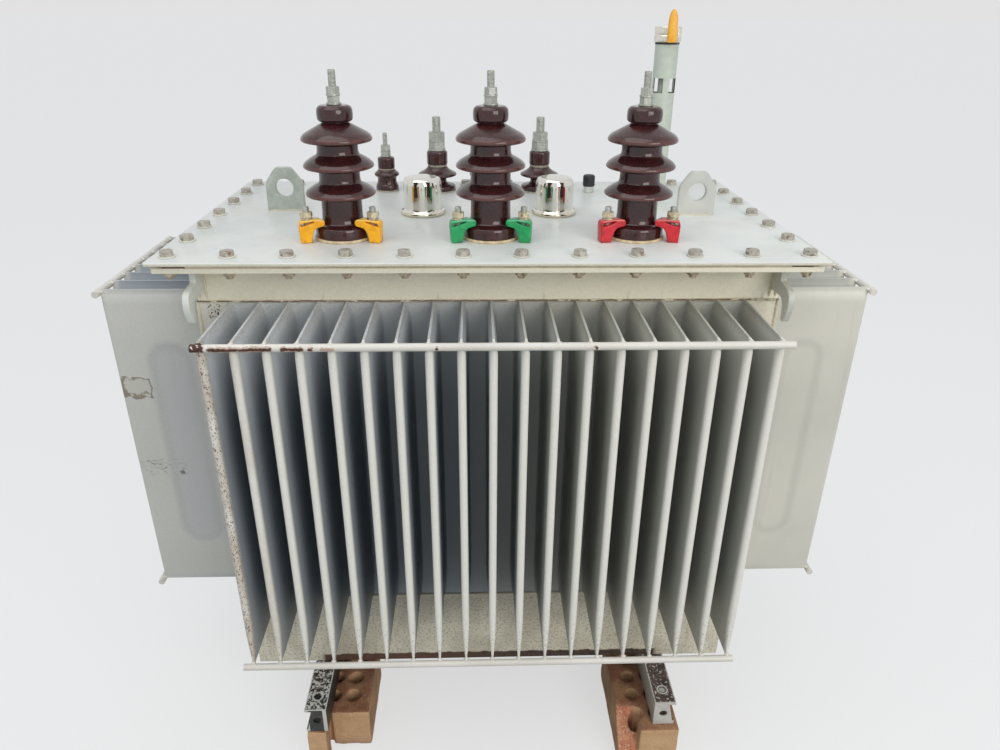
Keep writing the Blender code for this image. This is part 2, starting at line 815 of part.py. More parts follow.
def build_lv_bushings():
    lv_shares = (
        (0.0, 1.0), (0.48, 1.0), (0.53, 0.97), (0.53, 0.68), (0.51, 0.63), (0.52, 0.58),
        (0.93, 0.47), (1.0, 0.43), (0.95, 0.375), (0.50, 0.36), (0.46, 0.30), (0.46, 0.20),
        (0.60, 0.17), (0.88, 0.155), (0.947, 0.12), (0.947, 0.0), (0.0, 0.0),
    )
    for step, place in enumerate(("left", "centre", "right")):
        x = lv_middle_x + (step - 1) * lv_pitch
        name = f"lv_bushing_{place}"
        bushing = turned(name, lv_profile(lv_height, lv_diameter, lv_shares), porcelain(name), 14)
        bushing.location = (x, lv_y, deck + seat_gap)
        name = f"lv_terminal_{place}"
        terminal(
            name, (x, lv_y, deck + lv_height + 2 * seat_gap), (lv_stud_diameter, lv_stud_height),
            (lv_washer_diameter, lv_washer_height), (lv_nut_width, lv_nut_height), zinc(name),
        )
    neutral_shares = (
        (0.0, 1.0), (0.60, 1.0), (0.66, 0.96), (0.66, 0.64), (0.72, 0.60), (0.93, 0.54),
        (1.0, 0.49), (0.95, 0.44), (0.78, 0.42), (0.72, 0.36), (0.74, 0.22), (0.86, 0.18),
        (0.90, 0.14), (0.90, 0.0), (0.0, 0.0),
    )
    name = "neutral_bushing"
    profile = lv_profile(neutral_height, neutral_diameter, neutral_shares)
    bushing = turned(name, profile, porcelain(name), 14)
    bushing.location = (lv_neutral_x, lv_y, deck + seat_gap)
    name = "neutral_terminal"
    terminal(
        name, (lv_neutral_x, lv_y, deck + neutral_height + 2 * seat_gap),
        (neutral_stud_diameter, neutral_stud_height),
        (neutral_washer_diameter, neutral_washer_height),
        (neutral_nut_width, neutral_nut_height), zinc(name),
    )


def build_dome_caps():
    """Two bright turned caps on the lid, each on a wider foot ring."""
    radius = dome_cap_diameter / 2
    foot = dome_cap_foot_diameter / 2
    crown = arc((radius - dome_cap_round, dome_cap_height - dome_cap_round), dome_cap_round, 90, 0)
    profile = [
        (0.0, dome_cap_height),
        *crown,
        (radius, dome_cap_foot_height),
        (foot, dome_cap_foot_height),
        (foot, 0.0),
        (0.0, 0.0),
    ]
    for side, hand in (("left", -1), ("right", 1)):
        name = f"dome_cap_{side}"
        cap = turned(name, profile, chrome(name))
        cap.location = (hand * dome_cap_x, dome_cap_y, deck + seat_gap)


def build_thermometer_pocket():
    """A short pocket with its screwed rubber cap."""
    stem = pocket_stem_diameter / 2
    cap = pocket_cap_diameter / 2
    top = pocket_stem_height + pocket_cap_height
    edge = pocket_cap_height * pocket_cap_edge_share
    profile = [
        (0.0, top), (cap - edge, top), (cap, top - edge), (cap, pocket_stem_height),
        (stem, pocket_stem_height), (stem, 0.0), (0.0, 0.0),
    ]
    name = "thermometer_pocket"
    pocket = turned(name, profile, rubber(name), 12)
    pocket.location = (pocket_x, pocket_y, deck + seat_gap)


def build_oil_gauge():
    """A tubular level gauge with windows right through it, a metal head and a float pointer."""
    radius = gauge_diameter / 2
    foot = gauge_foot_diameter / 2
    tube_top = gauge_height - seat_gap
    profile = [
        (radius - gauge_wall, tube_top),
        (radius, tube_top),
        (radius, gauge_foot_height),
        (foot, gauge_foot_height),
        (foot, 0.0),
        (radius - gauge_wall, 0.0),
        (radius - gauge_wall, tube_top),
    ]
    name = "gauge_tube"
    tube = turned(name, profile, material(name, (0.55, 0.58, 0.53), 0.45, 0.0))
    tube.location = (gauge_x, gauge_y, deck + seat_gap)
    half = gauge_window_width / 2
    low = gauge_window_level - gauge_window_height / 2
    high = gauge_window_level + gauge_window_height / 2
    for number, turn in enumerate((-gauge_window_turn, gauge_window_turn)):
        reach = radius + cut_overrun
        mesh = box_mesh("window", (-half, -reach, low), (half, reach, high))
        window = add_cutter(f"gauge_window_{number}", mesh, tube)
        window.rotation_euler.z = turn
        combine(tube, window, "DIFFERENCE")
    head = gauge_head_diameter / 2
    edge = gauge_head_height * gauge_head_edge_share
    name = "gauge_head"
    head_profile = [
        (0.0, gauge_head_height),
        (head - edge, gauge_head_height),
        (head, gauge_head_height - edge),
        (head, gauge_head_height / 2),
        (head - edge, 0.0),
        (0.0, 0.0),
    ]
    piece = turned(name, head_profile, zinc(name))
    piece.location = (gauge_x, gauge_y, deck + gauge_height + seat_gap)
    name = "gauge_pointer"
    half_shares = ((0.94, 0.0), (1.0, 0.30), (0.94, 0.80), (0.28, 1.0))
    right_edge = [
        (gauge_pointer_width / 2 * out, gauge_pointer_height * up) for out, up in half_shares
    ]
    left_edge = [(-x, y) for x, y in reversed(right_edge)]
    mesh = outline_mesh(name, [right_edge + left_edge], gauge_pointer_depth)
    mesh.transform(Matrix.Rotation(math.pi / 2, 4, "X"))
    piece = add_object(name, mesh, material(name, (0.85, 0.32, 0.02), 0.35, 0.0))
    piece.location = (
        gauge_x, gauge_y - head - gauge_pointer_depth / 2 - seat_gap, deck + gauge_height
    )


def build():
    start_scene()
    build_bricks()
    build_rails()
    build_tank_base()
    build_fin_walls()
    build_tank_rim()
    build_lid()
    build_hooks()
    build_lugs()
    build_hv_bushings()
    build_lv_bushings()
    build_dome_caps()
    build_thermometer_pocket()
    build_oil_gauge()
    for piece in model.objects:
        smooth(piece)


build()
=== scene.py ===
"""Looks of the distribution transformer: finer surfaces, fasteners, welds and finishes round its solids.

Metres, +Z up, in the frame of the solids. The high-voltage side faces -Y, towards the camera.
A finish's colours are 0 to 255 screen values.
"""

import math
import random

import bmesh
import bpy
from mathutils import Matrix, Vector, noise


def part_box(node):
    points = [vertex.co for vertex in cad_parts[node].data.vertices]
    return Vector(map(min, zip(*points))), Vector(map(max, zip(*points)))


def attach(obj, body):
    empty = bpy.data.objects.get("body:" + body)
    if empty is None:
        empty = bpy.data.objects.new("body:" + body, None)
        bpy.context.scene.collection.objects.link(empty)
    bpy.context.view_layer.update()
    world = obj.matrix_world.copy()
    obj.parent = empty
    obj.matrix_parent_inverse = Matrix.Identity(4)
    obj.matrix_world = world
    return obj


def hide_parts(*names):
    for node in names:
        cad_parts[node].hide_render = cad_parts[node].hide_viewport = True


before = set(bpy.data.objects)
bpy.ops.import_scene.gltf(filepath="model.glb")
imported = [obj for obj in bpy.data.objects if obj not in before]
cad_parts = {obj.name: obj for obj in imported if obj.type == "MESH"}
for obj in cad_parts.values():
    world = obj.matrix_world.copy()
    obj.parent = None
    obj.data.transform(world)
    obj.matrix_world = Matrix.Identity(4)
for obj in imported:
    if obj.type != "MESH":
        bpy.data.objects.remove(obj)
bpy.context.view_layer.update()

# Camera, solved from the lines of the photograph
image_width = 1000
focal_pixels = 761.145
sensor_width = 36.0
camera_place = Vector((-0.0251, -1.3502, 1.3122))
camera_yaw = 0.0351
camera_pitch = 0.4447
camera_roll = 0.0082

# Light: sky, backdrop and floor as strengths, lamps as (name, place, aim, size, watts, colour)
sky_strength = 0.62
sky_colour = (0.88, 0.94, 1.0, 1.0)
backdrop = 0.76
floor_size = 400.0
floor_bounce = 0.38
floor_paint = 0.28
floor_glow = 0.60
lamps = (
    ("key", (1.7, -3.0, 2.1), (0.0, -0.2, 0.6), 2.0, 46.0, (1.0, 0.97, 0.91)),
    ("overhead", (-0.6, -0.9, 3.2), (0.0, -0.1, 0.6), 2.6, 25.0, (1.0, 0.99, 0.97)),
)

# Main sizes, read from the solids
base_low, base_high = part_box("tank_base")
rim_low, rim_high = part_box("tank_rim")
lid_low, lid_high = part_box("lid")
seal_low, seal_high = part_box("lid_gasket")
rail_low, rail_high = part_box("rail_right")
half_x = base_high.x
half_y = base_high.y
tank_foot = base_low.z
panel_foot = base_high.z
panel_head = rim_low.z
flange_top = rim_high.z
deck = lid_high.z
rail_middle = (rail_low.x + rail_high.x) / 2
rail_half = (rail_high.x - rail_low.x) / 2
rail_end = rail_high.y
rail_head = rail_high.z

# The rails' bolt holes from their ends, the gap under a seated piece, and values used throughout
rail_hole_inset = 0.032
seat = 0.0003
origin = (0.0, 0.0, 0.0)
sides = ("left", "centre", "right")
quarter = math.pi / 2

# Cooling walls
front_fins = 19
side_fins = 8
fin_pitch = 0.045
fin_half = 0.006
fin_edge_half = 0.00175
fin_sheet = 0.0015
fin_top_pinch = 0.024
fin_foot_pinch = 0.086
fin_lip = 0.006
root_flare = 0.0035
emboss_depth = 0.0011
emboss_reach = 0.125
emboss_outer_margin = 0.062
emboss_top_margin = 0.098
emboss_foot_margin = 0.100
emboss_soft = 0.014
emboss_corner = 0.030
rod_radius = 0.00575
rod_overhang = 0.006
rod_drop = 0.006
front_rod_shifts = (0.0034, -0.0033)
front_depth = 0.166
side_depth = 0.176

# Sealing strip between lid and flange: painted up to the end, bare from there to the reach
strip_end = 0.4425
strip_reach = 0.475
strip_step = 0.005

# Lid fasteners
bolts_in_row = 12
bolts_in_column = 5
bolt_pitch = 0.0863
bolt_row_shift = 0.0007
bolt_row_y = 0.2588
bolt_column_x = 0.4747
head_width = 0.0182
head_height = 0.0078
washer_radius = 0.0124
washer_height = 0.0022
flange_thickness = 0.0084
nut_width = 0.0165
nut_height = 0.0075
bolt_radius = 0.0058

# Weld beads
bead_sides = 7
bead_pitch = 0.0035
bead_wander = 0.25

# Bushings and what stands on them
hv_xs = (-0.2333, 0.0, 0.2333)
hv_y = -0.1492
hv_height = 0.200
lv_xs = (-0.099, 0.003, 0.105)
lv_y = 0.206
lv_height = 0.078
neutral_x = -0.2005
neutral_height = 0.0655
clamp_circle = 0.059
clamp_turn = math.radians(10)
claw_width = 0.0196

# Bricks: the flat end of the front left one as two corners, and the grain of their skin
brick_end_low = (-0.3098, -0.2958, 0.0010)
brick_end_high = (-0.2355, -0.2825, 0.0890)
brick_grain = 0.0035

# Colours that several finishes share
rust_dark = (74, 50, 40)
rust_mid = (126, 86, 64)
foot_rust_and_shade = (44, 35, 31)
# The next two colours are the rust and painted shade of the tank's dark foot between the rails.
foot_rust_and_shade_pale = (84, 66, 54)
grime = (104, 92, 74)


def tint(red, green, blue):
    """A colour named by its 0 to 255 screen values, as the shader's linear colour."""
    shares = [value / 255 for value in (red, green, blue)]
    linear = [s / 12.92 if s <= 0.04045 else ((s + 0.055) / 1.055) ** 2.4 for s in shares]
    return (*linear, 1.0)


def feed(socket, value):
    """Gives a shader's socket a field, a number, a vector, or a colour by its screen values."""
    if isinstance(value, Field):
        socket.id_data.links.new(value.socket, socket)
    elif socket.type == "RGBA" and len(value) == 3:
        socket.default_value = tint(*value)
    else:
        socket.default_value = value


def add_node(tree, kind, settings=None, **inputs):
    made = tree.nodes.new(kind)
    for key, value in (settings or {}).items():
        setattr(made, key, value)
    for key, value in inputs.items():
        feed(made.inputs[key.replace("_", " ")], value)
    return made


def maths(operation, *values):
    """A field worked out from other fields and plain numbers."""
    tree = next(value.tree for value in values if isinstance(value, Field))
    made = add_node(tree, "ShaderNodeMath", {"operation": operation})
    for socket, value in zip(made.inputs, values):
        feed(socket, value)
    return Field(made.outputs[0])


class Field:
    """What varies over a surface: a node's output that is worked with like a number.

    On masks, * is on where both are, and | where either is.
    """

    def __init__(self, socket):
        self.socket = socket
        self.tree = socket.id_data

    def __add__(self, other):
        return maths("ADD", self, other)

    def __sub__(self, other):
        return maths("SUBTRACT", self, other)

    def __rsub__(self, other):
        return maths("SUBTRACT", other, self)

    def __mul__(self, other):
        return maths("MULTIPLY", self, other)

    def __or__(self, other):
        return maths("MAXIMUM", self, other)

    def __abs__(self):
        return maths("ABSOLUTE", self)

    def rise(self, low, high):
        """0 before low, 1 past high and a smooth rise between them; low may be the larger."""
        settings = {"interpolation_type": "SMOOTHSTEP"}
        made = add_node(self.tree, "ShaderNodeMapRange", settings, Value=self, From_Min=low, From_Max=high)
        return Field(made.outputs[0])

    def near(self, middle, reach, soft):
        """1 within reach of the middle, falling to 0 over the soft distance."""
        return abs(self - middle).rise(reach + soft, reach)

    def between(self, kind, first_input, output, below, above):
        made = add_node(self.tree, "ShaderNodeMix", {"data_type": kind})
        for index, value in ((0, self), (first_input, below), (first_input + 1, above)):
            feed(made.inputs[index], value)
        return Field(made.outputs[output])

    def mix(self, below, above):
        """A colour that runs from below to above as this mask rises."""
        return self.between("RGBA", 6, 2, below, above)

    def blend(self, below, above):
        """A number that runs from below to above as this mask rises."""
        return self.between("FLOAT", 2, 0, below, above)

    def axes(self):
        """The X, Y and Z of a vector."""
        return [Field(part) for part in add_node(self.tree, "ShaderNodeSeparateXYZ", Vector=self).outputs]


def distance(across, up):
    """How far a place lies from where both fields are 0."""
    return maths("SQRT", across * across + up * up)


def round_panel(across, up, wide, tall, corner, soft):
    """1 inside an upright panel with round corners, falling to 0 over the soft distance."""
    past = [abs(off) - (half - corner) | 0.0 for off, half in ((across, wide), (up, tall))]
    return distance(*past).rise(corner + soft, corner)


class Finish:
    """One material, whose colour and relief are laid on in turn."""

    def __init__(self, name, slot):
        self.slot = slot
        self.material = bpy.data.materials.new(name)
        self.material.use_nodes = True
        self.tree = self.material.node_tree
        self.place = Field(add_node(self.tree, "ShaderNodeTexCoord").outputs["Object"])
        self.axes = self.place.axes()
        self.normal = None

    def noise(self, scale, detail=4.0, stretch=(1.0, 1.0, 1.0), shift=0.0, rough=0.55):
        where = add_node(
            self.tree, "ShaderNodeMapping", Vector=self.place, Scale=stretch, Location=(shift,) * 3
        )
        made = add_node(
            self.tree, "ShaderNodeTexNoise", Vector=Field(where.outputs[0]), Scale=scale,
            Detail=detail, Roughness=rough,
        )
        return Field(made.outputs["Fac"])

    def cover(self, mask, colour):
        """Lays a colour over the finish, as far as the mask is on."""
        self.colour = mask.mix(self.colour, colour)

    def relief(self, height, reach, strength):
        """Raises the finish a little by a field, on top of its relief so far."""
        made = add_node(self.tree, "ShaderNodeBump", Height=height, Distance=reach, Strength=strength)
        if self.normal:
            feed(made.inputs["Normal"], self.normal)
        self.normal = Field(made.outputs["Normal"])

    def complete(self, roughness, metallic=0.0, **fixed):
        """Joins the layers to the material's shader, together with its fixed values."""
        layers = {"Base Color": self.colour, "Normal": self.normal}
        inputs = self.tree.nodes["Principled BSDF"].inputs
        for key, value in {**layers, "Roughness": roughness, "Metallic": metallic, **fixed}.items():
            feed(inputs[key.replace("_", " ")], value)
        return self


def enamel(name, slot, light, dark, streaks, dust, roughness, stains_and_painted_light=None, marks=None):
    """Sprayed enamel: clouded colour, faint runs, dust, orange peel, and the stains, painted light and
    painted shade asked for.

    Each stain and each patch of painted light and shade is its mask and two colours, with the word rough
    where it is also raised and dull.
    """
    finish = Finish(name, slot)
    finish.colour = finish.noise(5.0, 5.0).rise(0.35, 0.68).mix(light, dark)
    finish.cover(finish.noise(9.0, 5.0, (7.0, 7.0, 0.55), 3.1).rise(0.55, 0.80) * streaks, grime)
    finish.cover(finish.noise(190.0, 3.0, shift=7.7).rise(0.66, 0.76) * dust, grime)
    finish.relief(finish.noise(420.0, 2.0), 0.00012, 0.6)
    gloss = finish.noise(14.0, 4.0, shift=1.3).blend(roughness - 0.10, roughness + 0.12)
    if stains_and_painted_light:
        grain = finish.noise(260.0, 4.0, shift=2.2)
        patchy = grain.rise(0.35, 0.62)
        for mask, deep, pale, *rough in stains_and_painted_light(finish):
            finish.cover(mask, patchy.mix(deep, pale))
            if rough:
                gloss = mask.blend(gloss, 0.85)
                finish.relief(mask * grain, 0.0006, 0.7)
    if marks:
        marks(finish)
    return finish.complete(gloss)


def metal(name, light, dark, roughness, metallic, grain, stain=None):
    """Dull plated or cast metal with a cloudy, finely pitted surface."""
    finish = Finish(name, "galvanised")
    finish.colour = finish.noise(grain, 5.0).rise(0.32, 0.68).mix(light, dark)
    if stain:
        finish.cover(finish.noise(grain / 3, 4.0, shift=4.0).rise(0.56, 0.68), stain)
    finish.relief(finish.noise(grain * 3.0, 3.0), 0.0002, 0.5)
    gloss = finish.noise(grain * 0.6, 4.0, shift=5.0).blend(roughness - 0.08, roughness + 0.18)
    return finish.complete(gloss, metallic)


def plain(name, slot, light, dark, roughness, **fixed):
    """A lightly clouded, non-metallic finish."""
    finish = Finish(name, slot)
    finish.colour = finish.noise(120.0, 4.0).rise(0.35, 0.65).mix(light, dark)
    finish.relief(finish.noise(480.0, 2.0), 0.0002, 0.4)
    gloss = finish.noise(60.0, 3.0, shift=3.0).blend(roughness - 0.06, roughness + 0.10)
    return finish.complete(gloss, **fixed)


def row_of_fins(across, out, half_wall, count, depth):
    """Masks of one wall's gaps between fins, and of how deep in them a place lies."""
    half_row = (count - 1) * fin_pitch / 2
    noses = half_wall + depth
    off = abs(out)
    inside = abs(across).rise(half_row + 0.0025, half_row - 0.0005)
    inside *= off.rise(half_wall - 0.0005, half_wall + 0.0003)
    inside *= off.rise(noses - 0.0064, noses - 0.016)
    return inside, off.rise(noses - 0.02, half_wall + 0.05)


def fin_stains_and_painted_light(finish):
    """Painted light and shade on the fins: paler noses, a greyer left wall and pressed panels, darker rims
    round the pressed panels and cool painted shade between the fins; with dust, rust pits, tan and rusty
    noses on the leftmost front fins, and rust patches low on the front fins.
    """
    x, y, z = finish.axes
    noses = half_y + front_depth
    # Painted highlight: the noses of the front and back fins are paler than the sheet.
    yield abs(y).rise(noses - 0.010, noses - 0.006) * 0.9, (234, 232, 222), (238, 236, 228)

    # Painted shade: the left side wall is greyer, its pressed panels greyer and bluer still, and every
    # pressed panel has a darker rim where its crease lies.
    shaded = x.rise(-half_x - 0.002, -half_x - 0.010)
    yield shaded * 0.7, (200, 201, 197), (206, 206, 201)
    aside = abs(x) - (half_x + side_depth - (emboss_outer_margin + emboss_reach) / 2)
    above = z - (panel_foot + emboss_foot_margin + panel_head - emboss_top_margin) / 2
    wide = (emboss_reach - emboss_outer_margin) / 2
    tall = (panel_head - panel_foot - emboss_foot_margin - emboss_top_margin) / 2
    pressed, within = [
        round_panel(aside, above, wide - less, tall - less, emboss_corner - less, emboss_soft)
        for less in (0.0, emboss_soft)
    ]
    yield pressed * shaded * 0.55, (186, 187, 192), (190, 191, 195)
    yield pressed * (1.0 - within) * 0.30, (176, 176, 170), (184, 184, 176)

    corner = x.rise(0.398, 0.418) * y.rise(-half_y + 0.004, -half_y + 0.001)
    corner *= z.rise(panel_head - 0.16, panel_head - 0.03)
    yield corner * 0.6, (224, 212, 186), (240, 230, 208)

    # Painted shade between the fins: cool and dark in the gaps, darker deeper in and lower down, bluer on
    # the left and warmer on the right; a painted highlight lightens the upper left of the front gaps.
    front, front_deep = row_of_fins(x, y, half_y, front_fins, front_depth)
    side, side_deep = row_of_fins(y, x, half_x, side_fins, side_depth)
    right = x.rise(-0.08, 0.16)
    thin = right.mix((172, 178, 184), (190, 191, 183))
    deep_gap_shade = right.mix((124, 132, 142), (152, 154, 148))
    head = z.rise(panel_head - 0.20, panel_head - 0.01)
    yield front | side, thin, thin
    yield (front * front_deep | side * side_deep) * head.blend(0.8, 0.3), deep_gap_shade, deep_gap_shade
    yield front * head * x.rise(0.10, -0.36) * 0.62, (228, 231, 233), (236, 238, 240)

    dusty = front * z.rise(panel_head - 0.035, panel_head - 0.004)
    dusty *= finish.noise(230.0, 4.0, shift=2.5).rise(0.46, 0.60)
    yield dusty * 0.45, (160, 146, 126), (186, 176, 158)
    pits = x.near(-0.4335, 0.0075, 0.005) * z.near(0.8860, 0.0085, 0.006)
    yield pits * finish.noise(300.0, 3.0).rise(0.52, 0.58), (44, 36, 34), (92, 78, 66), "rough"

    left = x.rise(-0.325, -0.395)
    nose = y.rise(0.012 - noses, 0.007 - noses) * left
    tan = nose * finish.noise(30.0, 4.0, (1.0, 1.0, 0.4)).rise(0.30, 0.6)
    yield tan * 0.55, (176, 154, 134), (196, 178, 158)
    dots = finish.noise(430.0, 4.0, (1.0, 1.0, 0.7), rough=0.65)
    yield nose * (dots - left.blend(0.80, 0.575)).rise(-0.015, 0.035), rust_dark, rust_mid, "rough"
    foot = z.rise(panel_foot + 0.14, panel_foot) * y.rise(-half_y - 0.02, -half_y - 0.12)
    foot *= finish.noise(330.0, 5.0, shift=6.0).rise(0.56, 0.64)
    yield foot * 0.55, rust_dark, rust_mid, "rough"


def side_fin_marks(finish):
    """Old tape, scuffs and small scratches on the foremost left fin's outer face."""
    x, y, z = finish.axes
    on_face = y.rise(-0.160, -0.1630) * x.rise(-half_x, -half_x - 0.01)
    wobble = (finish.noise(60.0, 4.0) - 0.5) * 0.022
    x += wobble
    z += wobble
    tape = on_face * x.near(-0.606, 0.026, 0.0012) * z.near(0.727, 0.019, 0.0012)
    inner = x.near(-0.603, 0.019, 0.003) * z.near(0.730, 0.012, 0.003)
    torn = finish.noise(70.0, 4.0, shift=8.0).rise(0.38, 0.50)
    finish.cover(tape * 0.35, (196, 196, 178))
    finish.cover(tape * (1.0 - inner) * torn * 0.70, (110, 88, 64))
    scuff = on_face * x.near(-0.585, 0.034, 0.012) * z.near(0.567, 0.012, 0.010)
    scuff *= finish.noise(120.0, 5.0, (1.0, 1.0, 3.0), 3.0).rise(0.52, 0.66)
    finish.cover(scuff * 0.65, (112, 108, 96))
    spot = on_face * x.near(-0.556, 0.004, 0.002) * z.near(0.557, 0.0025, 0.002)
    finish.cover(spot * 0.8, (70, 60, 50))


def rod_stains(finish):
    """Bare brown stretches on the lower side of the upper front tie rod's left end."""
    x, y, z = finish.axes
    on_rod = y.rise(-half_y - 0.155, -half_y - 0.163) * z.rise(panel_head - 0.030, panel_head - 0.025)
    ragged = (finish.noise(190.0, 4.0) - 0.5) * 0.012
    along = x + ragged
    worn = along.near(-0.3685, 0.0185, 0.003)
    for middle, reach, soft in (
        (-0.3260, 0.0210, 0.003), (-0.2755, 0.0135, 0.003), (-0.2500, 0.0016, 0.001),
        (-0.0780, 0.0010, 0.001), (0.1410, 0.0020, 0.001),
    ):
        worn |= along.near(middle, reach, soft)
    faded = along.near(-0.2275, 0.0080, 0.0030)
    level = z + ragged * 0.50
    lower_side = panel_head - rod_drop - 0.0006
    streak = level.near(lower_side, 0.0017, 0.0009)
    fringe = level.near(lower_side, 0.0036, 0.0014)
    stain = on_rod * (worn * fringe | faded * streak)
    yield stain * 0.6, (150, 104, 74), (178, 134, 98), "rough"
    tip = along.rise(-0.3930, -0.3955) * finish.noise(150.0, 4.0, shift=2.0).rise(0.36, 0.44)
    yield on_rod * (tip | worn * streak), (56, 38, 32), (92, 60, 48), "rough"
    fleck = finish.noise(260.0, 4.0, shift=9.0).rise(0.66, 0.72) * x.rise(-0.1, -0.4)
    yield fleck * 0.6, rust_mid, rust_mid, "rough"


def seam_stains(finish):
    """Fine broken brown cracks where paint has lifted along the welds, and tan corners."""
    x, _, z = finish.axes
    upright = z.rise(panel_head - 0.004, panel_head - 0.008) * abs(x).rise(half_x - 0.004, half_x - 0.002)
    yield upright * 0.7, (222, 214, 190), (232, 226, 206)
    wander = (finish.noise(45.0, 4.0) - 0.5) * 0.0024
    crack = (z + wander).near(panel_head + 0.0006, 0.00075, 0.0006)
    crack *= finish.noise(60.0, 5.0, (1.0, 1.0, 0.6), 2.0).rise(0.34, 0.46)
    yield crack * 0.9, (74, 56, 44), (108, 84, 64), "rough"
    freckle = finish.noise(420.0, 4.0, shift=4.0).rise(0.62, 0.70)
    yield freckle * 0.22, (120, 92, 70), (146, 116, 88), "rough"


def band_stains_and_painted_light(finish):
    """A paler upper band, painted light under the lid's shadow; below it weeping, speckles and a dark foot
    between the rails that is rust and painted shade.
    """
    x, _, z = finish.axes
    # Painted light: the upper band under the lid is painted paler than the band below.
    yield z.rise(panel_head - 0.001, panel_head), (244, 238, 216), (250, 244, 224)
    drips = finish.noise(26.0, 4.0, (3.0, 3.0, 0.35), 5.0).rise(0.58, 0.72)
    drips *= z.rise(panel_head + 0.02, panel_head + 0.001)
    yield drips * 0.35, (150, 124, 96), (176, 152, 120)
    low = z.rise(panel_foot + 0.002, panel_foot - 0.012)
    dust = low * finish.noise(12.0, 5.0, shift=1.7).rise(0.35, 0.65)
    yield dust * 0.5, (168, 160, 140), (184, 176, 156)
    speckle = low * finish.noise(240.0, 4.0, shift=3.3).rise(0.50, 0.62)
    yield speckle * 0.5, (112, 98, 80), (150, 136, 112)
    ragged = z + finish.noise(55.0, 5.0) * 0.010
    # Rust and painted shade: the dark foot between the rails, darker towards the right, is rust together
    # with the painted shade of the space under the tank.
    foot = ragged.rise(tank_foot + 0.0235, tank_foot + 0.0205) * abs(x).rise(0.335, 0.325)
    yield foot, x.rise(-0.2, 0.1).mix((104, 70, 56), foot_rust_and_shade), foot_rust_and_shade_pale, "rough"


def lid_stains(finish):
    """Creamy edges, and a thin patchy dusting."""
    edge = finish.axes[2].rise(deck - 0.0011, deck - 0.0017)
    yield edge * 0.9, (214, 206, 184), (224, 218, 200)
    dust = finish.noise(11.0, 6.0, shift=5.5).rise(0.42, 0.66)
    yield dust * 0.22, (186, 184, 172), (196, 194, 184), "rough"


def hook_painted_shade(finish):
    """Painted shade: duller, greyer paint on the right hooks."""
    yield finish.axes[0].rise(0.0, half_x) * 0.7, (178, 178, 168), (194, 193, 183)


def porcelain():
    """Thick brown glaze with a fine orange peel, and a painted highlight of paler, redder colour on the
    lips.
    """
    finish = Finish("porcelain_glaze", "porcelain")
    x, y, _ = finish.axes
    finish.colour = finish.noise(55.0, 5.0).rise(0.35, 0.7).mix((50, 21, 24), (66, 30, 31))
    # Painted highlight: paler, redder colour on the sheds' lips.
    finish.cover(distance(x, y).rise(0.0505, 0.0545) * 0.5, (118, 72, 68))
    finish.cover(finish.noise(420.0, 3.0, shift=3.0).rise(0.60, 0.70) * 0.26, (140, 96, 88))
    finish.relief(finish.noise(70.0, 3.0, (1.0, 1.0, 1.6)), 0.0009, 0.30)
    finish.relief(finish.noise(300.0, 2.0, shift=1.0), 0.0004, 0.55)
    gloss = finish.noise(30.0, 3.0, shift=5.0).blend(0.05, 0.13)
    return finish.complete(gloss, Coat_Weight=0.25, Coat_Roughness=0.04)


def chrome():
    """Bright plating with a slight haze, small dull spots and a yellowed foot."""
    finish = Finish("polished_chrome", "chrome")
    spots = finish.noise(210.0, 4.0, shift=2.0).rise(0.64, 0.72)
    finish.colour = (spots * 0.5).mix((232, 230, 222), (160, 146, 120))
    finish.cover(finish.axes[2].rise(0.0075, 0.0050) * 0.5, (208, 194, 160))
    finish.relief(finish.noise(26.0, 2.0, (1.0, 1.0, 2.2)), 0.0010, 0.25)
    haze = finish.noise(24.0, 5.0, (1.0, 1.0, 0.6)).blend(0.03, 0.12)
    return finish.complete(haze + spots * 0.2, 1.0)


def clamp_enamel(place, light, dark, edge):
    """Thick bright enamel on a rough casting: a painted highlight, paler on its top rim, dirty at its foot.
    """
    finish = Finish(f"clamp_enamel_{place}", f"clamp_{place}")
    z = finish.axes[2]
    finish.colour = finish.noise(90.0, 4.0).rise(0.35, 0.7).mix(light, dark)
    # Painted highlight: the top rim is paler.
    finish.cover(z.rise(deck + 0.0325, deck + 0.0352) * 0.6, edge)
    dirt = finish.noise(240.0, 4.0).rise(0.48, 0.62) * z.rise(deck + 0.007, deck + 0.001).blend(0.06, 0.6)
    finish.cover(dirt, (70, 52, 34))
    finish.relief(finish.noise(330.0, 3.0), 0.0005, 0.5)
    return finish.complete(0.40, Coat_Weight=0.2)


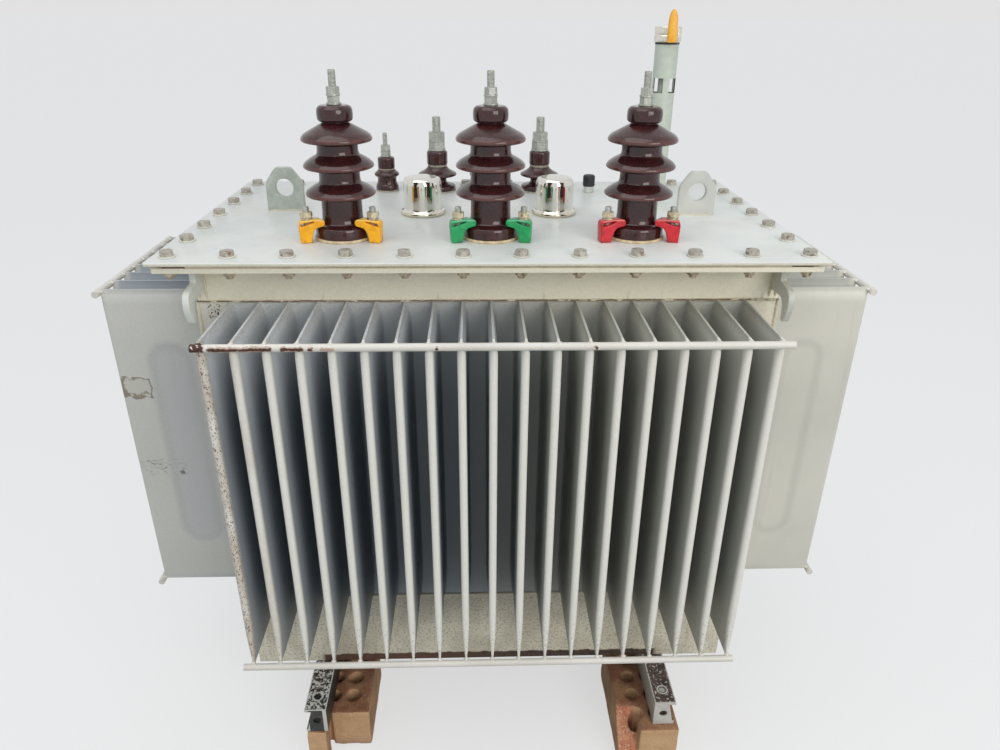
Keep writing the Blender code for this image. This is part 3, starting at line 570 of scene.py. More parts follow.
def clay():
    """Wire-cut fired clay: orange top, smooth tan ends painted paler as painted light, pinkish foot and one
    rough red break.
    """
    finish = Finish("fired_clay", "clay")
    x, y, z = finish.axes
    _, lean_y, lean_z = Field(add_node(finish.tree, "ShaderNodeNewGeometry").outputs["Normal"]).axes()
    cloud = finish.noise(20.0, 6.0).rise(0.34, 0.66)
    end = abs(lean_y).rise(0.5, 0.8)
    finish.colour = cloud.mix((196, 158, 120), (172, 132, 98))
    # Painted light: the ends, facing along Y, are painted paler tan than the rest.
    finish.cover(end, cloud.mix((212, 174, 132), (200, 160, 120)))
    foot = (z + finish.noise(26.0, 4.0) * 0.03).rise(0.046, 0.018)
    finish.cover(foot * 0.55, (184, 140, 122))
    red = finish.noise(30.0, 5.0, shift=4.0).rise(0.36, 0.62)
    finish.cover(lean_z.rise(0.5, 0.8) * z.rise(0.070, 0.084), red.mix((162, 122, 90), (144, 96, 72)))
    broken = x.near(0.262, 0.0165, 0.002) * y.rise(-0.289, -0.293)
    torn = finish.noise(60.0, 6.0, shift=6.0, rough=0.7).rise(0.38, 0.64)
    torn = torn.mix((182, 110, 86), (206, 146, 110))
    crumbs = finish.noise(260.0, 4.0, shift=9.0).rise(0.56, 0.64) * 0.7
    finish.cover(broken, crumbs.mix(torn, (232, 200, 168)))
    finish.cover(finish.noise(330.0, 4.0, shift=1.0).rise(0.58, 0.70) * 0.45, (222, 196, 160))
    pits = finish.noise(240.0, 4.0, shift=8.0).rise(0.60, 0.70)
    finish.cover(pits * end.blend(0.5, 0.2), (98, 66, 50))
    finish.relief(finish.noise(150.0, 7.0), 0.0022, 0.8)
    return finish.complete(0.92)


def rail_enamel():
    """Dark green-black paint, chipped to pale primer along its edges and round its holes; painted shade
    darkens the left rail and painted light makes the right rail's end face pale.
    """
    finish = Finish("rail_enamel", "rail_paint")
    x, y, z = finish.axes
    side = abs(x) - rail_middle
    off_middle = abs(side)
    reach = abs(y)
    left = x.rise(0.01, -0.01)
    top = z.rise(rail_head - 0.0012, rail_head - 0.0006)
    fine = finish.noise(210.0, 5.0, shift=2.0, rough=0.62)

    flank = off_middle.rise(rail_half - 0.0026, rail_half - 0.0010)
    end = reach.rise(rail_end - 0.0032, rail_end - 0.0012)
    ring = distance(side, reach - (rail_end - rail_hole_inset)).near(0.0094, 0.0010, 0.0008)
    rim = (flank | end | ring) * fine.rise(0.30, 0.40)
    flaking = fine + reach.rise(rail_end - 0.150, rail_end - 0.03) * left.blend(0.02, 0.05)
    chips = (flaking - left.blend(0.050, 0.0)).rise(0.545, 0.575)
    slanted = reach.rise(rail_end - 0.0010, rail_end - 0.0004) * (1.0 - top) * left
    slanted *= off_middle.rise(rail_half - 0.0075, rail_half - 0.0062)
    wear = (rim | chips) * top | slanted

    warm = finish.noise(40.0, 4.0).rise(0.4, 0.6)
    brown = warm.mix((66, 54, 50), (92, 72, 66))
    # Painted shade: the left rail is painted darker than the right.
    finish.colour = left.mix(brown, warm.mix((34, 40, 38), (58, 46, 42)))
    finish.cover(off_middle.rise(rail_half - 0.0006, rail_half - 0.0002) * (1.0 - left), (168, 162, 150))
    finish.cover(wear, (206, 206, 200))
    # Painted light: the right rail's end face is pale.
    lit_end_face = x.rise(0.0, 0.01) * y.rise(0.004 - rail_end, 0.002 - rail_end)
    lit_end_face *= z.rise(rail_head + 0.01, rail_head - 0.002)
    finish.cover(lit_end_face * fine.blend(0.85, 1.0), (206, 204, 196))
    finish.cover(finish.noise(300.0, 4.0).rise(0.60, 0.68) * 0.5, (120, 96, 80))
    finish.relief(wear, 0.0005, 0.6)
    return finish.complete(wear.blend(0.45, 0.75))


def seal_finish():
    """The lid's sealing strip: black rubber near the corners, painted over between them."""
    finish = Finish("lid_seal", "rubber")
    off = abs(finish.axes[0])
    finish.colour = finish.noise(60.0, 5.0).rise(0.3, 0.7).mix((206, 194, 166), (178, 162, 132))
    bare = (off + finish.noise(90.0, 3.0) * 0.006).rise(0.438, 0.441) * off.rise(0.4845, 0.483)
    finish.cover(bare, (18, 18, 20))
    finish.relief(finish.noise(200.0, 3.0), 0.0004, 0.5)
    return finish.complete(0.6)


def strip_finish():
    """Cream paint over sealing compound, split along its middle by a thin brown crack that is also a
    painted shadow line of the joint.
    """
    finish = Finish("strip_enamel", "tank_paint")
    x, _, z = finish.axes
    finish.colour = finish.noise(70.0, 5.0).rise(0.3, 0.7).mix((226, 216, 190), (204, 190, 158))
    wander = (finish.noise(80.0, 4.0) - 0.5) * 0.0022
    # Painted shade: the thin brown line along the middle is a crack and the joint's shadow line.
    crack = (z + wander).near((flange_top + lid_low.z) / 2 + 0.0011, 0.00030, 0.0003)
    broken = finish.noise(34.0, 5.0, shift=2.0).rise(0.38, 0.48)
    finish.cover(crack * broken * 0.9, (96, 70, 52))
    finish.cover(abs(x).rise(strip_end - 0.001, strip_end + 0.001), (52, 42, 34))
    finish.relief(finish.noise(260.0, 4.0), 0.0006, 0.6)
    return finish.complete(0.6)


def add_piece(name, form, finishes, stands_for=(), place=origin, angle=35.0):
    """A piece from a bmesh: shaded, finished, riding on the part and standing for the named nodes."""
    mesh = bpy.data.meshes.new(name)
    bmesh.ops.recalc_face_normals(form, faces=form.faces)
    form.to_mesh(mesh)
    form.free()
    for finish in finishes:
        mesh.materials.append(finish.material)
    mesh.shade_smooth()
    mesh.set_sharp_from_angle(angle=math.radians(angle))
    piece = bpy.data.objects.new(name, mesh)
    bpy.context.scene.collection.objects.link(piece)
    piece.location = place
    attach(piece, "root")
    if stands_for:
        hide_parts(*stands_for)


def eased(points, steps=4, closed=False):
    """A polyline whose corners are rounded; each point is (across, up, reach of the rounding)."""
    count = len(points)
    result = []
    for index, (x, y, reach) in enumerate(points):
        corner = Vector((x, y))
        at_end = not closed and index in (0, count - 1)
        if reach <= 0.0 or at_end:
            result.append(corner)
            continue
        before = Vector(points[index - 1][:2]) - corner
        after = Vector(points[(index + 1) % count][:2]) - corner
        start = before.normalized() * min(reach, before.length / 2)
        end = after.normalized() * min(reach, after.length / 2)
        for step in range(steps + 1):
            t = step / steps
            result.append(corner + start * (1 - t) ** 2 + end * t ** 2)
    return [(point.x, point.y) for point in result]


def mirrored(points):
    """An outline's right half followed by its left half."""
    return points + [(-across, up, ease) for across, up, ease in reversed(points)]


def ring_of(form, centre, points, turn=0.0):
    """Vertices spread evenly round an upright axis, from the (reach, height) of each."""
    ring = []
    for step, (reach, height) in enumerate(points):
        angle = math.tau * step / len(points) + turn
        x, y = reach * math.cos(angle), reach * math.sin(angle)
        ring.append(form.verts.new((centre[0] + x, centre[1] + y, centre[2] + height)))
    return ring


def bridge_rings(form, rings, finish=0):
    """Faces between each ring of vertices and the next; a ring of one vertex is a tip."""
    for low, high in zip(rings, rings[1:]):
        count = max(len(low), len(high))
        for step in range(count):
            after = (step + 1) % count
            around = ((low, step), (low, after), (high, after), (high, step))
            corners = list(dict.fromkeys(ring[at % len(ring)] for ring, at in around))
            if len(corners) > 2:
                form.faces.new(corners).material_index = finish


def close_rings(form, rings, finish=0):
    """Faces between the rings, and a flat one at each end."""
    bridge_rings(form, rings, finish)
    for ring in (rings[0], rings[-1]):
        form.faces.new(ring).material_index = finish


def revolve(form, profile, steps, centre=origin, finish=0):
    """Turns (radius, height) points about an upright axis; points on the axis close the shape."""
    rings = [ring_of(form, centre, [point] * (steps if point[0] > seat else 1)) for point in profile]
    bridge_rings(form, rings, finish)


def turned(steps, *profiles):
    """A new bmesh of profiles turned about the upright axis."""
    form = bmesh.new()
    for profile in profiles:
        revolve(form, profile, steps)
    return form


def disc_profile(radius, low, high, ease=0.0004):
    """The profile of a washer, plate or pin without a hole."""
    return eased([(0.0, low, 0), (radius, low, ease), (radius, high, ease), (0.0, high, 0)], 2)


def disc(form, radius, low, high, centre, finish=0, steps=28):
    revolve(form, disc_profile(radius, low, high), steps, centre, finish)


def hexagon(form, width, low, high, centre, turn=0.0, finish=0, bite=0.06, domed=False):
    """A nut or bolt head: flats across the width, corners eased by a chamfer at its ends."""
    steps = 24
    flat = width / 2
    circle = flat * (1.0 + bite)
    sixth = math.pi / 3
    off_flat = [(math.tau * step / steps + sixth / 2) % sixth - sixth / 2 for step in range(steps)]
    reaches = [flat / math.cos(angle) for angle in off_flat]
    drops = [max(0.0, reach - circle) * 0.6 + 0.0001 for reach in reaches]
    chamfer = [min(reach, circle) * 0.985 for reach in reaches]
    outlines = [
        [(reach, low) for reach in chamfer],
        [(reach, low + drop) for reach, drop in zip(reaches, drops)],
        [(reach, high - drop) for reach, drop in zip(reaches, drops)],
        [(reach, high) for reach in chamfer],
    ]
    if domed:
        outlines.append([(reach * 0.6, high + 0.0005) for reach in chamfer])
    close_rings(form, [ring_of(form, centre, outline, turn) for outline in outlines], finish)


def thread(form, radius, low, high, pitch, centre=origin, finish=0, steps=20):
    """A screw thread: the surface rises and falls along a helix, and its tip is eased."""
    depth = pitch * 0.55
    rows = max(2, round((high - low) / pitch * 5))
    rings = []
    for row in range(rows + 1):
        z = low + (high - low) * row / rows
        tip = (1.0 - min(1.0, (high - z) / pitch)) * 0.6
        phases = [(z / pitch - step / steps) % 1.0 for step in range(steps)]
        reaches = [radius - depth * (abs(2.0 * phase - 1.0) * 0.9 + tip) for phase in phases]
        rings.append(ring_of(form, centre, [(reach, z) for reach in reaches]))
    close_rings(form, rings, finish)


def bead(form, start, end, radius, seed):
    """A weld bead between two points: a rippled, slightly wandering ridge."""
    start, end = Vector(start), Vector(end)
    along = (end - start).normalized()
    across = along.orthogonal().normalized()
    up = along.cross(across)
    length = (end - start).length
    rows = max(3, int(length / bead_pitch))
    turns = [math.tau * side / bead_sides for side in range(bead_sides)]
    rings = []
    for row in range(rows + 1):
        share = row / rows
        sample = Vector((share * length * 60, seed, 0.0))
        ripple = 1.0 + 0.18 * math.sin(row * 2.2 + seed) + bead_wander * noise.noise(sample)
        reach = radius * ripple * min(1.0, 0.35 + min(row, rows - row) * 0.4)
        middle = start + (end - start) * share + noise.noise_vector(sample * 0.35) * radius * bead_wander
        rings.append([
            form.verts.new(middle + across * reach * math.cos(turn) + up * reach * math.sin(turn))
            for turn in turns
        ])
    close_rings(form, rings)


def blob(form, centre, size, seed):
    """A small uneven lump of weld metal."""
    made = bmesh.ops.create_icosphere(form, subdivisions=2, radius=1.0)
    for vert in made["verts"]:
        swell = 1.0 + 0.28 * noise.noise(vert.co * 1.7 + Vector((seed, 0.0, seed)))
        vert.co = Vector(centre) + Vector([c * s * swell for c, s in zip(vert.co, size)])


def box(form, low, high, matrix=Matrix.Identity(4)):
    """A sharp box between two corners."""
    low, high = Vector(low), Vector(high)
    shape = Matrix.LocRotScale((low + high) / 2, None, high - low)
    bmesh.ops.create_cube(form, size=1.0, matrix=matrix @ shape)


def plate(loops, thickness, ease):
    """A bmesh of a flat plate with rounded edges from closed outlines in XY; later loops are holes."""
    flat = bpy.data.curves.new("plate", "CURVE")
    flat.dimensions = "2D"
    flat.fill_mode = "BOTH"
    flat.extrude = thickness / 2 - ease
    flat.bevel_depth = ease
    flat.bevel_resolution = 2
    flat.offset = -ease
    for loop in loops:
        spline = flat.splines.new("POLY")
        spline.points.add(len(loop) - 1)
        for point, (x, y) in zip(spline.points, loop):
            point.co = (x, y, 0.0, 1.0)
        spline.use_cyclic_u = True
    guide = bpy.data.objects.new("plate", flat)
    bpy.context.scene.collection.objects.link(guide)
    form = evaluated(guide)
    bmesh.ops.remove_doubles(form, verts=form.verts, dist=0.00002)
    return form


def evaluated(guide):
    """A bmesh of a helper object as its modifiers or bevel shape it; the helper is removed."""
    graph = bpy.context.evaluated_depsgraph_get()
    mesh = bpy.data.meshes.new_from_object(guide.evaluated_get(graph))
    bpy.data.objects.remove(guide, do_unlink=True)
    form = bmesh.new()
    form.from_mesh(mesh)
    bpy.data.meshes.remove(mesh)
    return form


def upright_at(place):
    """Stands a flat plate up on its X axis at a place."""
    return Matrix.Translation(place) @ Matrix.Rotation(quarter, 4, "X")


def eased_node(name, width, finish):
    """A copy of a node with its coplanar facets merged and its edges rounded."""
    form = bmesh.new()
    form.from_mesh(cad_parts[name].data)
    bmesh.ops.remove_doubles(form, verts=form.verts, dist=0.00001)
    bmesh.ops.dissolve_limit(form, angle_limit=math.radians(1.0), verts=form.verts, edges=form.edges)
    sharp = [edge for edge in form.edges if edge.calc_face_angle(0.0) > math.radians(25)]
    bmesh.ops.bevel(
        form, geom=sharp, offset=width, segments=2, profile=0.5, affect="EDGES", clamp_overlap=True
    )
    add_piece(f"{name}_eased", form, [finish], [name])


def clipped(share):
    return min(1.0, max(0.0, share))


def fin_half_width(z, height):
    """Half a fin's thickness at a level: flat lips at both ends, opening to the full pocket."""
    ends = ((z, fin_foot_pinch), (height - z, fin_top_pinch))
    share = min(1.0 - (1.0 - clipped((off - fin_lip) / (reach - fin_lip))) ** 1.7 for off, reach in ends)
    return fin_edge_half + (fin_half - fin_edge_half) * share


def emboss(out, z, depth, height):
    """How deep the pressed panel of a fin's side lies at a place."""
    middle_z = (emboss_foot_margin + height - emboss_top_margin) / 2
    half_z = (height - emboss_top_margin - emboss_foot_margin) / 2
    middle_out = depth - (emboss_reach + emboss_outer_margin) / 2
    half_out = (emboss_reach - emboss_outer_margin) / 2
    aside = max(0.0, abs(out - middle_out) - half_out + emboss_corner)
    above = max(0.0, abs(z - middle_z) - half_z + emboss_corner)
    share = clipped((emboss_corner - math.hypot(aside, above)) / emboss_soft + 0.5)
    return emboss_depth * share * share * (3.0 - 2.0 * share)


def fin_levels(height):
    """Levels along a fin: close together where its outline bends."""
    foot, head = emboss_foot_margin, height - emboss_top_margin
    marks = [0.0, height]
    marks += [fin_lip + (fin_foot_pinch - fin_lip) * step / 7 for step in range(8)]
    marks += [foot + step * 0.006 for step in range(-1, 6)]
    marks += [foot + 0.04 + (head - foot - 0.08) * step / 8 for step in range(9)]
    marks += [head + step * 0.006 for step in range(-5, 2)]
    marks += [height - fin_top_pinch + (fin_top_pinch - fin_lip) * step / 5 for step in range(6)]
    marks.sort()
    return [z for z, after in zip(marks, marks[1:] + [height + 1.0]) if after - z > 0.0015]


def add_fin(form, depth, height, matrix):
    """One folded cooling fin: flared root, pressed sides and a round nose."""
    outs = [-0.001, 0.0006, 0.002, 0.005, 0.012, 0.022, depth - 0.040, depth - 0.020, depth - 0.010]
    outs += [depth - emboss_reach + step * 0.005 for step in range(-2, 4)]
    outs += [depth - emboss_outer_margin + step * 0.005 for step in range(-3, 3)]
    outs = sorted(out for out in outs if out < depth - fin_half)
    rings = []
    for z in fin_levels(height):
        half = fin_half_width(z, height)
        flank = []
        for out in outs:
            flare = root_flare * max(0.0, 1.0 - max(out, 0.0) / 0.005) ** 2
            press = emboss(out, z, depth, height) if half > fin_half * 0.9 else 0.0
            flank.append((half + flare - press, out))
        turns = [math.pi * step / 10 for step in range(11)]
        nose = [(half * math.cos(turn), depth - half + half * math.sin(turn)) for turn in turns]
        outline = flank + nose + [(-x, out) for x, out in reversed(flank)]
        rings.append([form.verts.new(matrix @ Vector((x, -out, z))) for x, out in outline])
    close_rings(form, rings)


def add_tie_rod(form, length, y, z, matrix, seed):
    """A round tie rod along X, slightly uneven and cut off square."""
    angles = [math.tau * step / 18 for step in range(18)]
    rows = int(length / 0.02)
    rings = []
    for row in range(rows + 1):
        x = -length / 2 + length * row / rows
        ring = []
        for across, up in ((math.cos(angle), math.sin(angle)) for angle in angles):
            reach = rod_radius * (0.992 + 0.008 * noise.noise(Vector((x * 25, across, up + seed))))
            ring.append(form.verts.new(matrix @ Vector((x, y + reach * across, z + reach * up))))
        rings.append(ring)
    close_rings(form, rings)


def build_fin_wall(name, length, count, depth, place, turn, sheet, rod):
    """A corrugated wall: its sheet, its fins, the tie rods on their noses and the weld lumps."""
    height = panel_head - panel_foot - seat
    matrix = Matrix.Translation((*place, panel_foot + seat)) @ Matrix.Rotation(turn, 4, "Z")
    half_row = (count - 1) * fin_pitch / 2
    xs = [number * fin_pitch - half_row for number in range(count)]
    form = bmesh.new()
    box(form, (-length / 2, 0.0, 0.0), (length / 2, fin_sheet, height), matrix)
    for x in xs:
        add_fin(form, depth, height, matrix @ Matrix.Translation((x, 0.0, 0.0)))
    add_piece(f"{name}_fins", form, [sheet], [name], angle=50.0)
    rods = bmesh.new()
    rod_length = 2 * (half_row + fin_half + rod_overhang)
    y = 0.0012 - depth - rod_radius
    levels = (height - rod_drop, -0.002)
    shifts = front_rod_shifts if name == "fin_wall_front" else (0.0, 0.0)
    for seed, (z, shift) in enumerate(zip(levels, shifts)):
        add_tie_rod(rods, rod_length, y, z, matrix @ Matrix.Translation((shift, 0.0, 0.0)), seed + turn)
    add_piece(f"{name}_rods", rods, [rod])
    lumps = bmesh.new()
    size = Vector((0.0050, 0.0045, 0.0036))
    for number, x in enumerate(xs):
        seed = number * 1.37 + turn * 5 + depth * 40
        top = matrix @ Vector((x, y + rod_radius * 0.9, levels[0] + rod_radius * 0.35))
        low = matrix @ Vector((x, y + rod_radius * 0.8, levels[1] + rod_radius * 0.8))
        blob(lumps, top, size, seed)
        blob(lumps, low, size * 0.85, seed + 40)
    add_piece(f"{name}_rod_welds", lumps, [rod], angle=80.0)


def build_fin_walls(sheet, rod):
    short_length = 2 * half_y - 2 * (fin_sheet + seat)
    for name, length, count, depth, place, turn in (
        ("fin_wall_front", 2 * half_x, front_fins, front_depth, (0.0, -half_y), 0.0),
        ("fin_wall_back", 2 * half_x, front_fins, front_depth, (0.0, half_y), math.pi),
        ("fin_wall_left", short_length, side_fins, side_depth, (-half_x, 0.0), -quarter),
        ("fin_wall_right", short_length, side_fins, side_depth, (half_x, 0.0), quarter),
    ):
        build_fin_wall(name, length, count, depth, place, turn, sheet, rod)


def build_seams(weld):
    """Weld seams: round the panels' top and foot, down the corners and under the flange."""
    form = bmesh.new()
    x = half_x + 0.0004
    y = half_y + 0.0004
    corners = [(-x, -y), (x, -y), (x, y), (-x, y)]
    under = flange_top - flange_thickness
    seed = 0.0
    for level, radius in ((panel_head, 0.0026), (panel_foot, 0.0022), (under, 0.0022)):
        for start, end in zip(corners, corners[1:] + corners[:1]):
            seed += 3.1
            bead(form, (*start, level), (*end, level), radius, seed)
    for corner in corners:
        seed += 2.3
        bead(form, (*corner, panel_foot), (*corner, panel_head), 0.0030, seed)
    add_piece("tank_seams", form, [weld], angle=80.0)


def build_sealing_strip(paint):
    """Painted-over sealing compound squeezed out of the joint between lid and flange."""
    form = bmesh.new()
    middle = (flange_top + lid_low.z) / 2
    half = (lid_low.z - flange_top) / 2 + 0.0004
    section = ((-0.010, -1), (-0.001, -1), (0.0, -0.5), (0.0, 0.5), (-0.001, 1), (-0.010, 1))
    for way in (-1, 1):
        rings = []
        for step in range(round(2 * strip_reach / strip_step) + 1):
            x = step * strip_step - strip_reach
            swell = 0.0012 * noise.noise(Vector((x * 55.0, way * 3.0, 1.0)))
            face = seal_high.y + (0.0072 + swell if abs(x) < strip_end else 0.0058)
            places = [(x, way * (face + out), middle + up * half) for out, up in section]
            rings.append([form.verts.new(place) for place in places])
        close_rings(form, rings)
    add_piece("lid_sealing_strip", form, [paint])


def build_lid_bolts(bolt, washer, nut):
    """Hexagon bolts through lid and flange, each with its washers and nut."""
    form = bmesh.new()
    roll = random.Random(7)
    places = []
    for number in range(bolts_in_row):
        x = bolt_row_shift + (number - (bolts_in_row - 1) / 2) * bolt_pitch
        places += [(x, -bolt_row_y), (x, bolt_row_y)]
    for number in range(bolts_in_column):
        y = (number - (bolts_in_column - 1) / 2) * bolt_pitch
        places += [(-bolt_column_x, y), (bolt_column_x, y)]
    for x, y in places:
        turn = roll.uniform(0.0, math.pi / 3)
        x += roll.uniform(-0.0008, 0.0008)
        above, under = (x, y, deck), (x, y, flange_top - flange_thickness)
        disc(form, washer_radius, seat, washer_height, above, 1)
        top = washer_height + head_height * roll.uniform(0.94, 1.04)
        hexagon(form, head_width, washer_height, top, above, turn, 0, 0.05, True)
        disc(form, washer_radius, -washer_height, -seat, under, 1)
        low = -washer_height - nut_height
        hexagon(form, nut_width, low, -washer_height, under, turn * 2, 2)
        thread(form, bolt_radius, low - 0.0045, low + 0.001, 0.00175, under, 2, 14)
    add_piece("lid_bolts", form, [bolt, washer, nut])


def hv_profile():
    """Porcelain of a high-voltage bushing, foot to crown; points are (radius, height, easing)."""
    points = [
        (0.0, 0.003, 0), (0.0425, 0.003, 0.001), (0.0436, 0.0045, 0.001), (0.0436, 0.0190, 0.004),
        (0.0400, 0.0232, 0.003), (0.0345, 0.0245, 0.003), (0.0320, 0.0300, 0.004), (0.0314, 0.0420, 0.006),
    ]
    lip = [
        (0.0312, -0.0080, 0.003), (0.0400, -0.0068, 0.003), (0.0525, -0.0048, 0.003),
        (0.0545, -0.0008, 0.003),
    ]
    slope = [
        (0.0500, 0.0050, 0.005), (0.0400, 0.0115, 0.006), (0.0325, 0.0150, 0.003), (0.0312, 0.0200, 0.003),
    ]
    top_slope = [(0.0500, 0.0060, 0.006), (0.0230, 0.0205, 0.004), (0.0197, 0.0222, 0.001)]
    for level, shed in ((0.0716, lip + slope), (0.1136, lip + slope), (0.153, lip + top_slope)):
        points += [(radius, level + up, ease) for radius, up, ease in shed]
    points += [
        (0.0200, 0.1759, 0.0005), (0.0232, 0.1765, 0.001), (0.0265, 0.1790, 0.002), (0.0272, 0.1880, 0.004),
        (0.0262, 0.1960, 0.003), (0.0215, 0.1998, 0.002), (0.0, hv_height, 0),
    ]
    return eased(points)


def lv_profiles():
    """Lower and upper porcelain of a low-voltage bushing."""
    lower = [
        (0.0, 0.0020, 0), (0.0350, 0.0020, 0.001), (0.0358, 0.0100, 0.003), (0.0330, 0.0125, 0.003),
        (0.0200, 0.0150, 0.004), (0.0172, 0.0190, 0.003), (0.0180, 0.0255, 0.003),
        (0.0330, 0.0285, 0.003), (0.0385, 0.0305, 0.003), (0.0375, 0.0345, 0.003),
        (0.0260, 0.0400, 0.006), (0.0200, 0.0455, 0.004), (0.0195, 0.0478, 0.001), (0.0, 0.0478, 0),
    ]
    upper = [
        (0.0, 0.0515, 0), (0.0195, 0.0515, 0.001), (0.0204, 0.0530, 0.001), (0.0204, 0.0755, 0.003),
        (0.0175, 0.0780, 0.002), (0.0, lv_height, 0),
    ]
    return eased(lower), eased(upper)


def neutral_profiles():
    """Lower and upper porcelain of the neutral bushing."""
    lower = [
        (0.0, 0.0020, 0), (0.0218, 0.0020, 0.001), (0.0228, 0.0090, 0.003), (0.0195, 0.0150, 0.004),
        (0.0182, 0.0215, 0.003), (0.0192, 0.0268, 0.003), (0.0236, 0.0290, 0.002),
        (0.0252, 0.0325, 0.003), (0.0225, 0.0360, 0.004), (0.0178, 0.0390, 0.003),
        (0.0172, 0.0412, 0.001), (0.0, 0.0412, 0),
    ]
    upper = [
        (0.0, 0.0435, 0), (0.0160, 0.0435, 0.001), (0.0167, 0.0450, 0.001), (0.0167, 0.0630, 0.003),
        (0.0140, 0.0655, 0.002), (0.0, neutral_height, 0),
    ]
    return eased(lower), eased(upper)


def terminal(stud_radius, stud_height, washer, nut, pitch, turn):
    """A threaded stud with two nuts, each on its washer; both are given as (breadth, height)."""
    form = bmesh.new()
    level = 0.0
    for number, share in enumerate((1.0, 0.93)):
        disc(form, washer[0] * share, level, level + washer[1], origin)
        level += washer[1]
        hexagon(form, nut[0], level, level + nut[1], origin, turn + 0.45 * number, 0, 0.07)
        level += nut[1]
    thread(form, stud_radius, level - 0.002, stud_height, pitch)
    return form


def add_bushing(family, suffix, place, height, steps, profiles, seals, stud, finishes):
    """One bushing: its porcelain, its seals and the stud on its crown."""
    glaze, seal, zinc = finishes
    foot = (*place, deck + seat)
    crown = (*place, deck + height + 2 * seat)
    bushing, top = f"{family}_bushing{suffix}", f"{family}_terminal{suffix}"
    add_piece(f"{family}_porcelain{suffix}", turned(steps, *profiles), [glaze], [bushing], foot, 60.0)
    add_piece(f"{family}_seal{suffix}", turned(steps - 8, *seals), [seal], (), foot)
    add_piece(f"{family}_stud{suffix}", stud, [zinc], [top], crown, 40.0)


def build_bushings(glaze, cork, grey_seal, zinc):
    """High-voltage, low-voltage and neutral bushings."""
    for side, x in zip(sides, hv_xs):
        seals = [disc_profile(0.0458, 0.0, 0.0040, 0.0012)]
        stud = terminal(0.006, 0.0485, (0.01125, 0.0026), (0.017, 0.010), 0.0018, 0.3 + x)
        add_bushing(
            "hv", f"_{side}", (x, hv_y), hv_height, 72, [hv_profile()], seals, stud, (glaze, cork, zinc)
        )
    for side, x in zip(sides, lv_xs):
        seals = [disc_profile(0.0364, 0.0, 0.0022, 0.0006), disc_profile(0.0190, 0.0476, 0.0517, 0.0008)]
        stud = terminal(0.0085, 0.0632, (0.017, 0.003), (0.028, 0.0145), 0.0020, 0.2 + x * 4)
        add_bushing(
            "lv", f"_{side}", (x, lv_y), lv_height, 56, lv_profiles(), seals, stud, (glaze, grey_seal, zinc)
        )
    seals = [disc_profile(0.0232, 0.0, 0.0022, 0.0006), disc_profile(0.0158, 0.0410, 0.0437, 0.0006)]
    stud = terminal(0.00475, 0.0452, (0.010, 0.002), (0.0165, 0.009), 0.0015, 0.5)
    add_bushing(
        "neutral", "", (neutral_x, lv_y), neutral_height, 48, neutral_profiles(), seals, stud,
        (glaze, grey_seal, zinc),
    )


def claw(lean):
    """A claw: X away from the bushing, Z up, its stud at X = 0; the nose is longer on one side."""
    outline = eased([
        (-0.0052, 0.0, 0.0015), (0.0116, 0.0, 0.002), (0.0131, 0.0270, 0.004), (0.0108, 0.0340, 0.003),
        (0.0020, 0.0354, 0.004), (-0.0120, 0.0360, 0.004), (-0.0215, 0.0358, 0.003),
        (-0.0242, 0.0315, 0.003), (-0.0230, 0.0252, 0.003), (-0.0175, 0.0240, 0.004),
        (-0.0118, 0.0222, 0.004), (-0.0085, 0.0150, 0.004),
    ], 4, True)
    slot = eased([
        (0.0102, 0.0252, 0.0015), (0.0104, 0.0298, 0.0015), (-0.0100, 0.0334, 0.0006),
        (-0.0104, 0.0316, 0.0006), (0.0010, 0.0272, 0.003),
    ], 3, True)
    form = plate([outline, slot], claw_width, 0.0018)
    form.transform(upright_at(origin))
    for vert in form.verts:
        vert.co.x -= lean * clipped((-0.008 - vert.co.x) / 0.012) * vert.co.y / claw_width
    return form


def build_clamps(finishes, zinc, stud):
    """Cast claws round each high-voltage bushing, with their studs, spring washers and nuts."""
    bearings = (
        ("front_left", math.radians(210), math.pi + clamp_turn, 0.008),
        ("front_right", math.radians(330), -clamp_turn, -0.008),
        ("back", quarter, quarter, 0.0),
    )
    for side, x in zip(sides, hv_xs):
        hardware = bmesh.new()
        for where, bearing, turn, lean in bearings:
            across, along = clamp_circle * math.cos(bearing), clamp_circle * math.sin(bearing)
            centre = (x + across, hv_y + along, deck + seat)
            form = claw(lean)
            form.transform(Matrix.Translation(centre) @ Matrix.Rotation(turn, 4, "Z"))
            add_piece(f"claw_{side}_{where}", form, [finishes[side]], [f"clamp_{side}_{where}"], angle=50.0)
            disc(hardware, 0.0092, 0.0356, 0.0372, centre, 0, 24)
            disc(hardware, 0.0080, 0.0373, 0.0388, centre, 1, 20)
            hexagon(hardware, 0.0170, 0.0388, 0.0468, centre, 0.4 + bearing)
            thread(hardware, 0.0052, 0.0200, 0.0550, 0.0015, centre, 1, 16)
        add_piece(f"claw_hardware_{side}", hardware, [zinc, stud], angle=40.0)


def foot_of(node):
    """The middle of a node's lowest level."""
    low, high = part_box(node)
    middle = (low + high) / 2
    return (middle.x, middle.y, low.z)


def build_dome_caps(finish):
    profile = eased([
        (0.0, 0.0, 0), (0.0388, 0.0, 0.001), (0.0396, 0.0022, 0.002), (0.0390, 0.0058, 0.002),
        (0.0362, 0.0074, 0.002), (0.0338, 0.0085, 0.002), (0.0334, 0.0140, 0.003),
        (0.0335, 0.0500, 0.004), (0.0332, 0.0560, 0.006), (0.0300, 0.0635, 0.006),
        (0.0200, 0.0649, 0.006), (0.0, 0.0650, 0),
    ], 5)
    for node in ("dome_cap_left", "dome_cap_right"):
        add_piece(f"{node}_polished", turned(72, profile), [finish], [node], foot_of(node), 60.0)


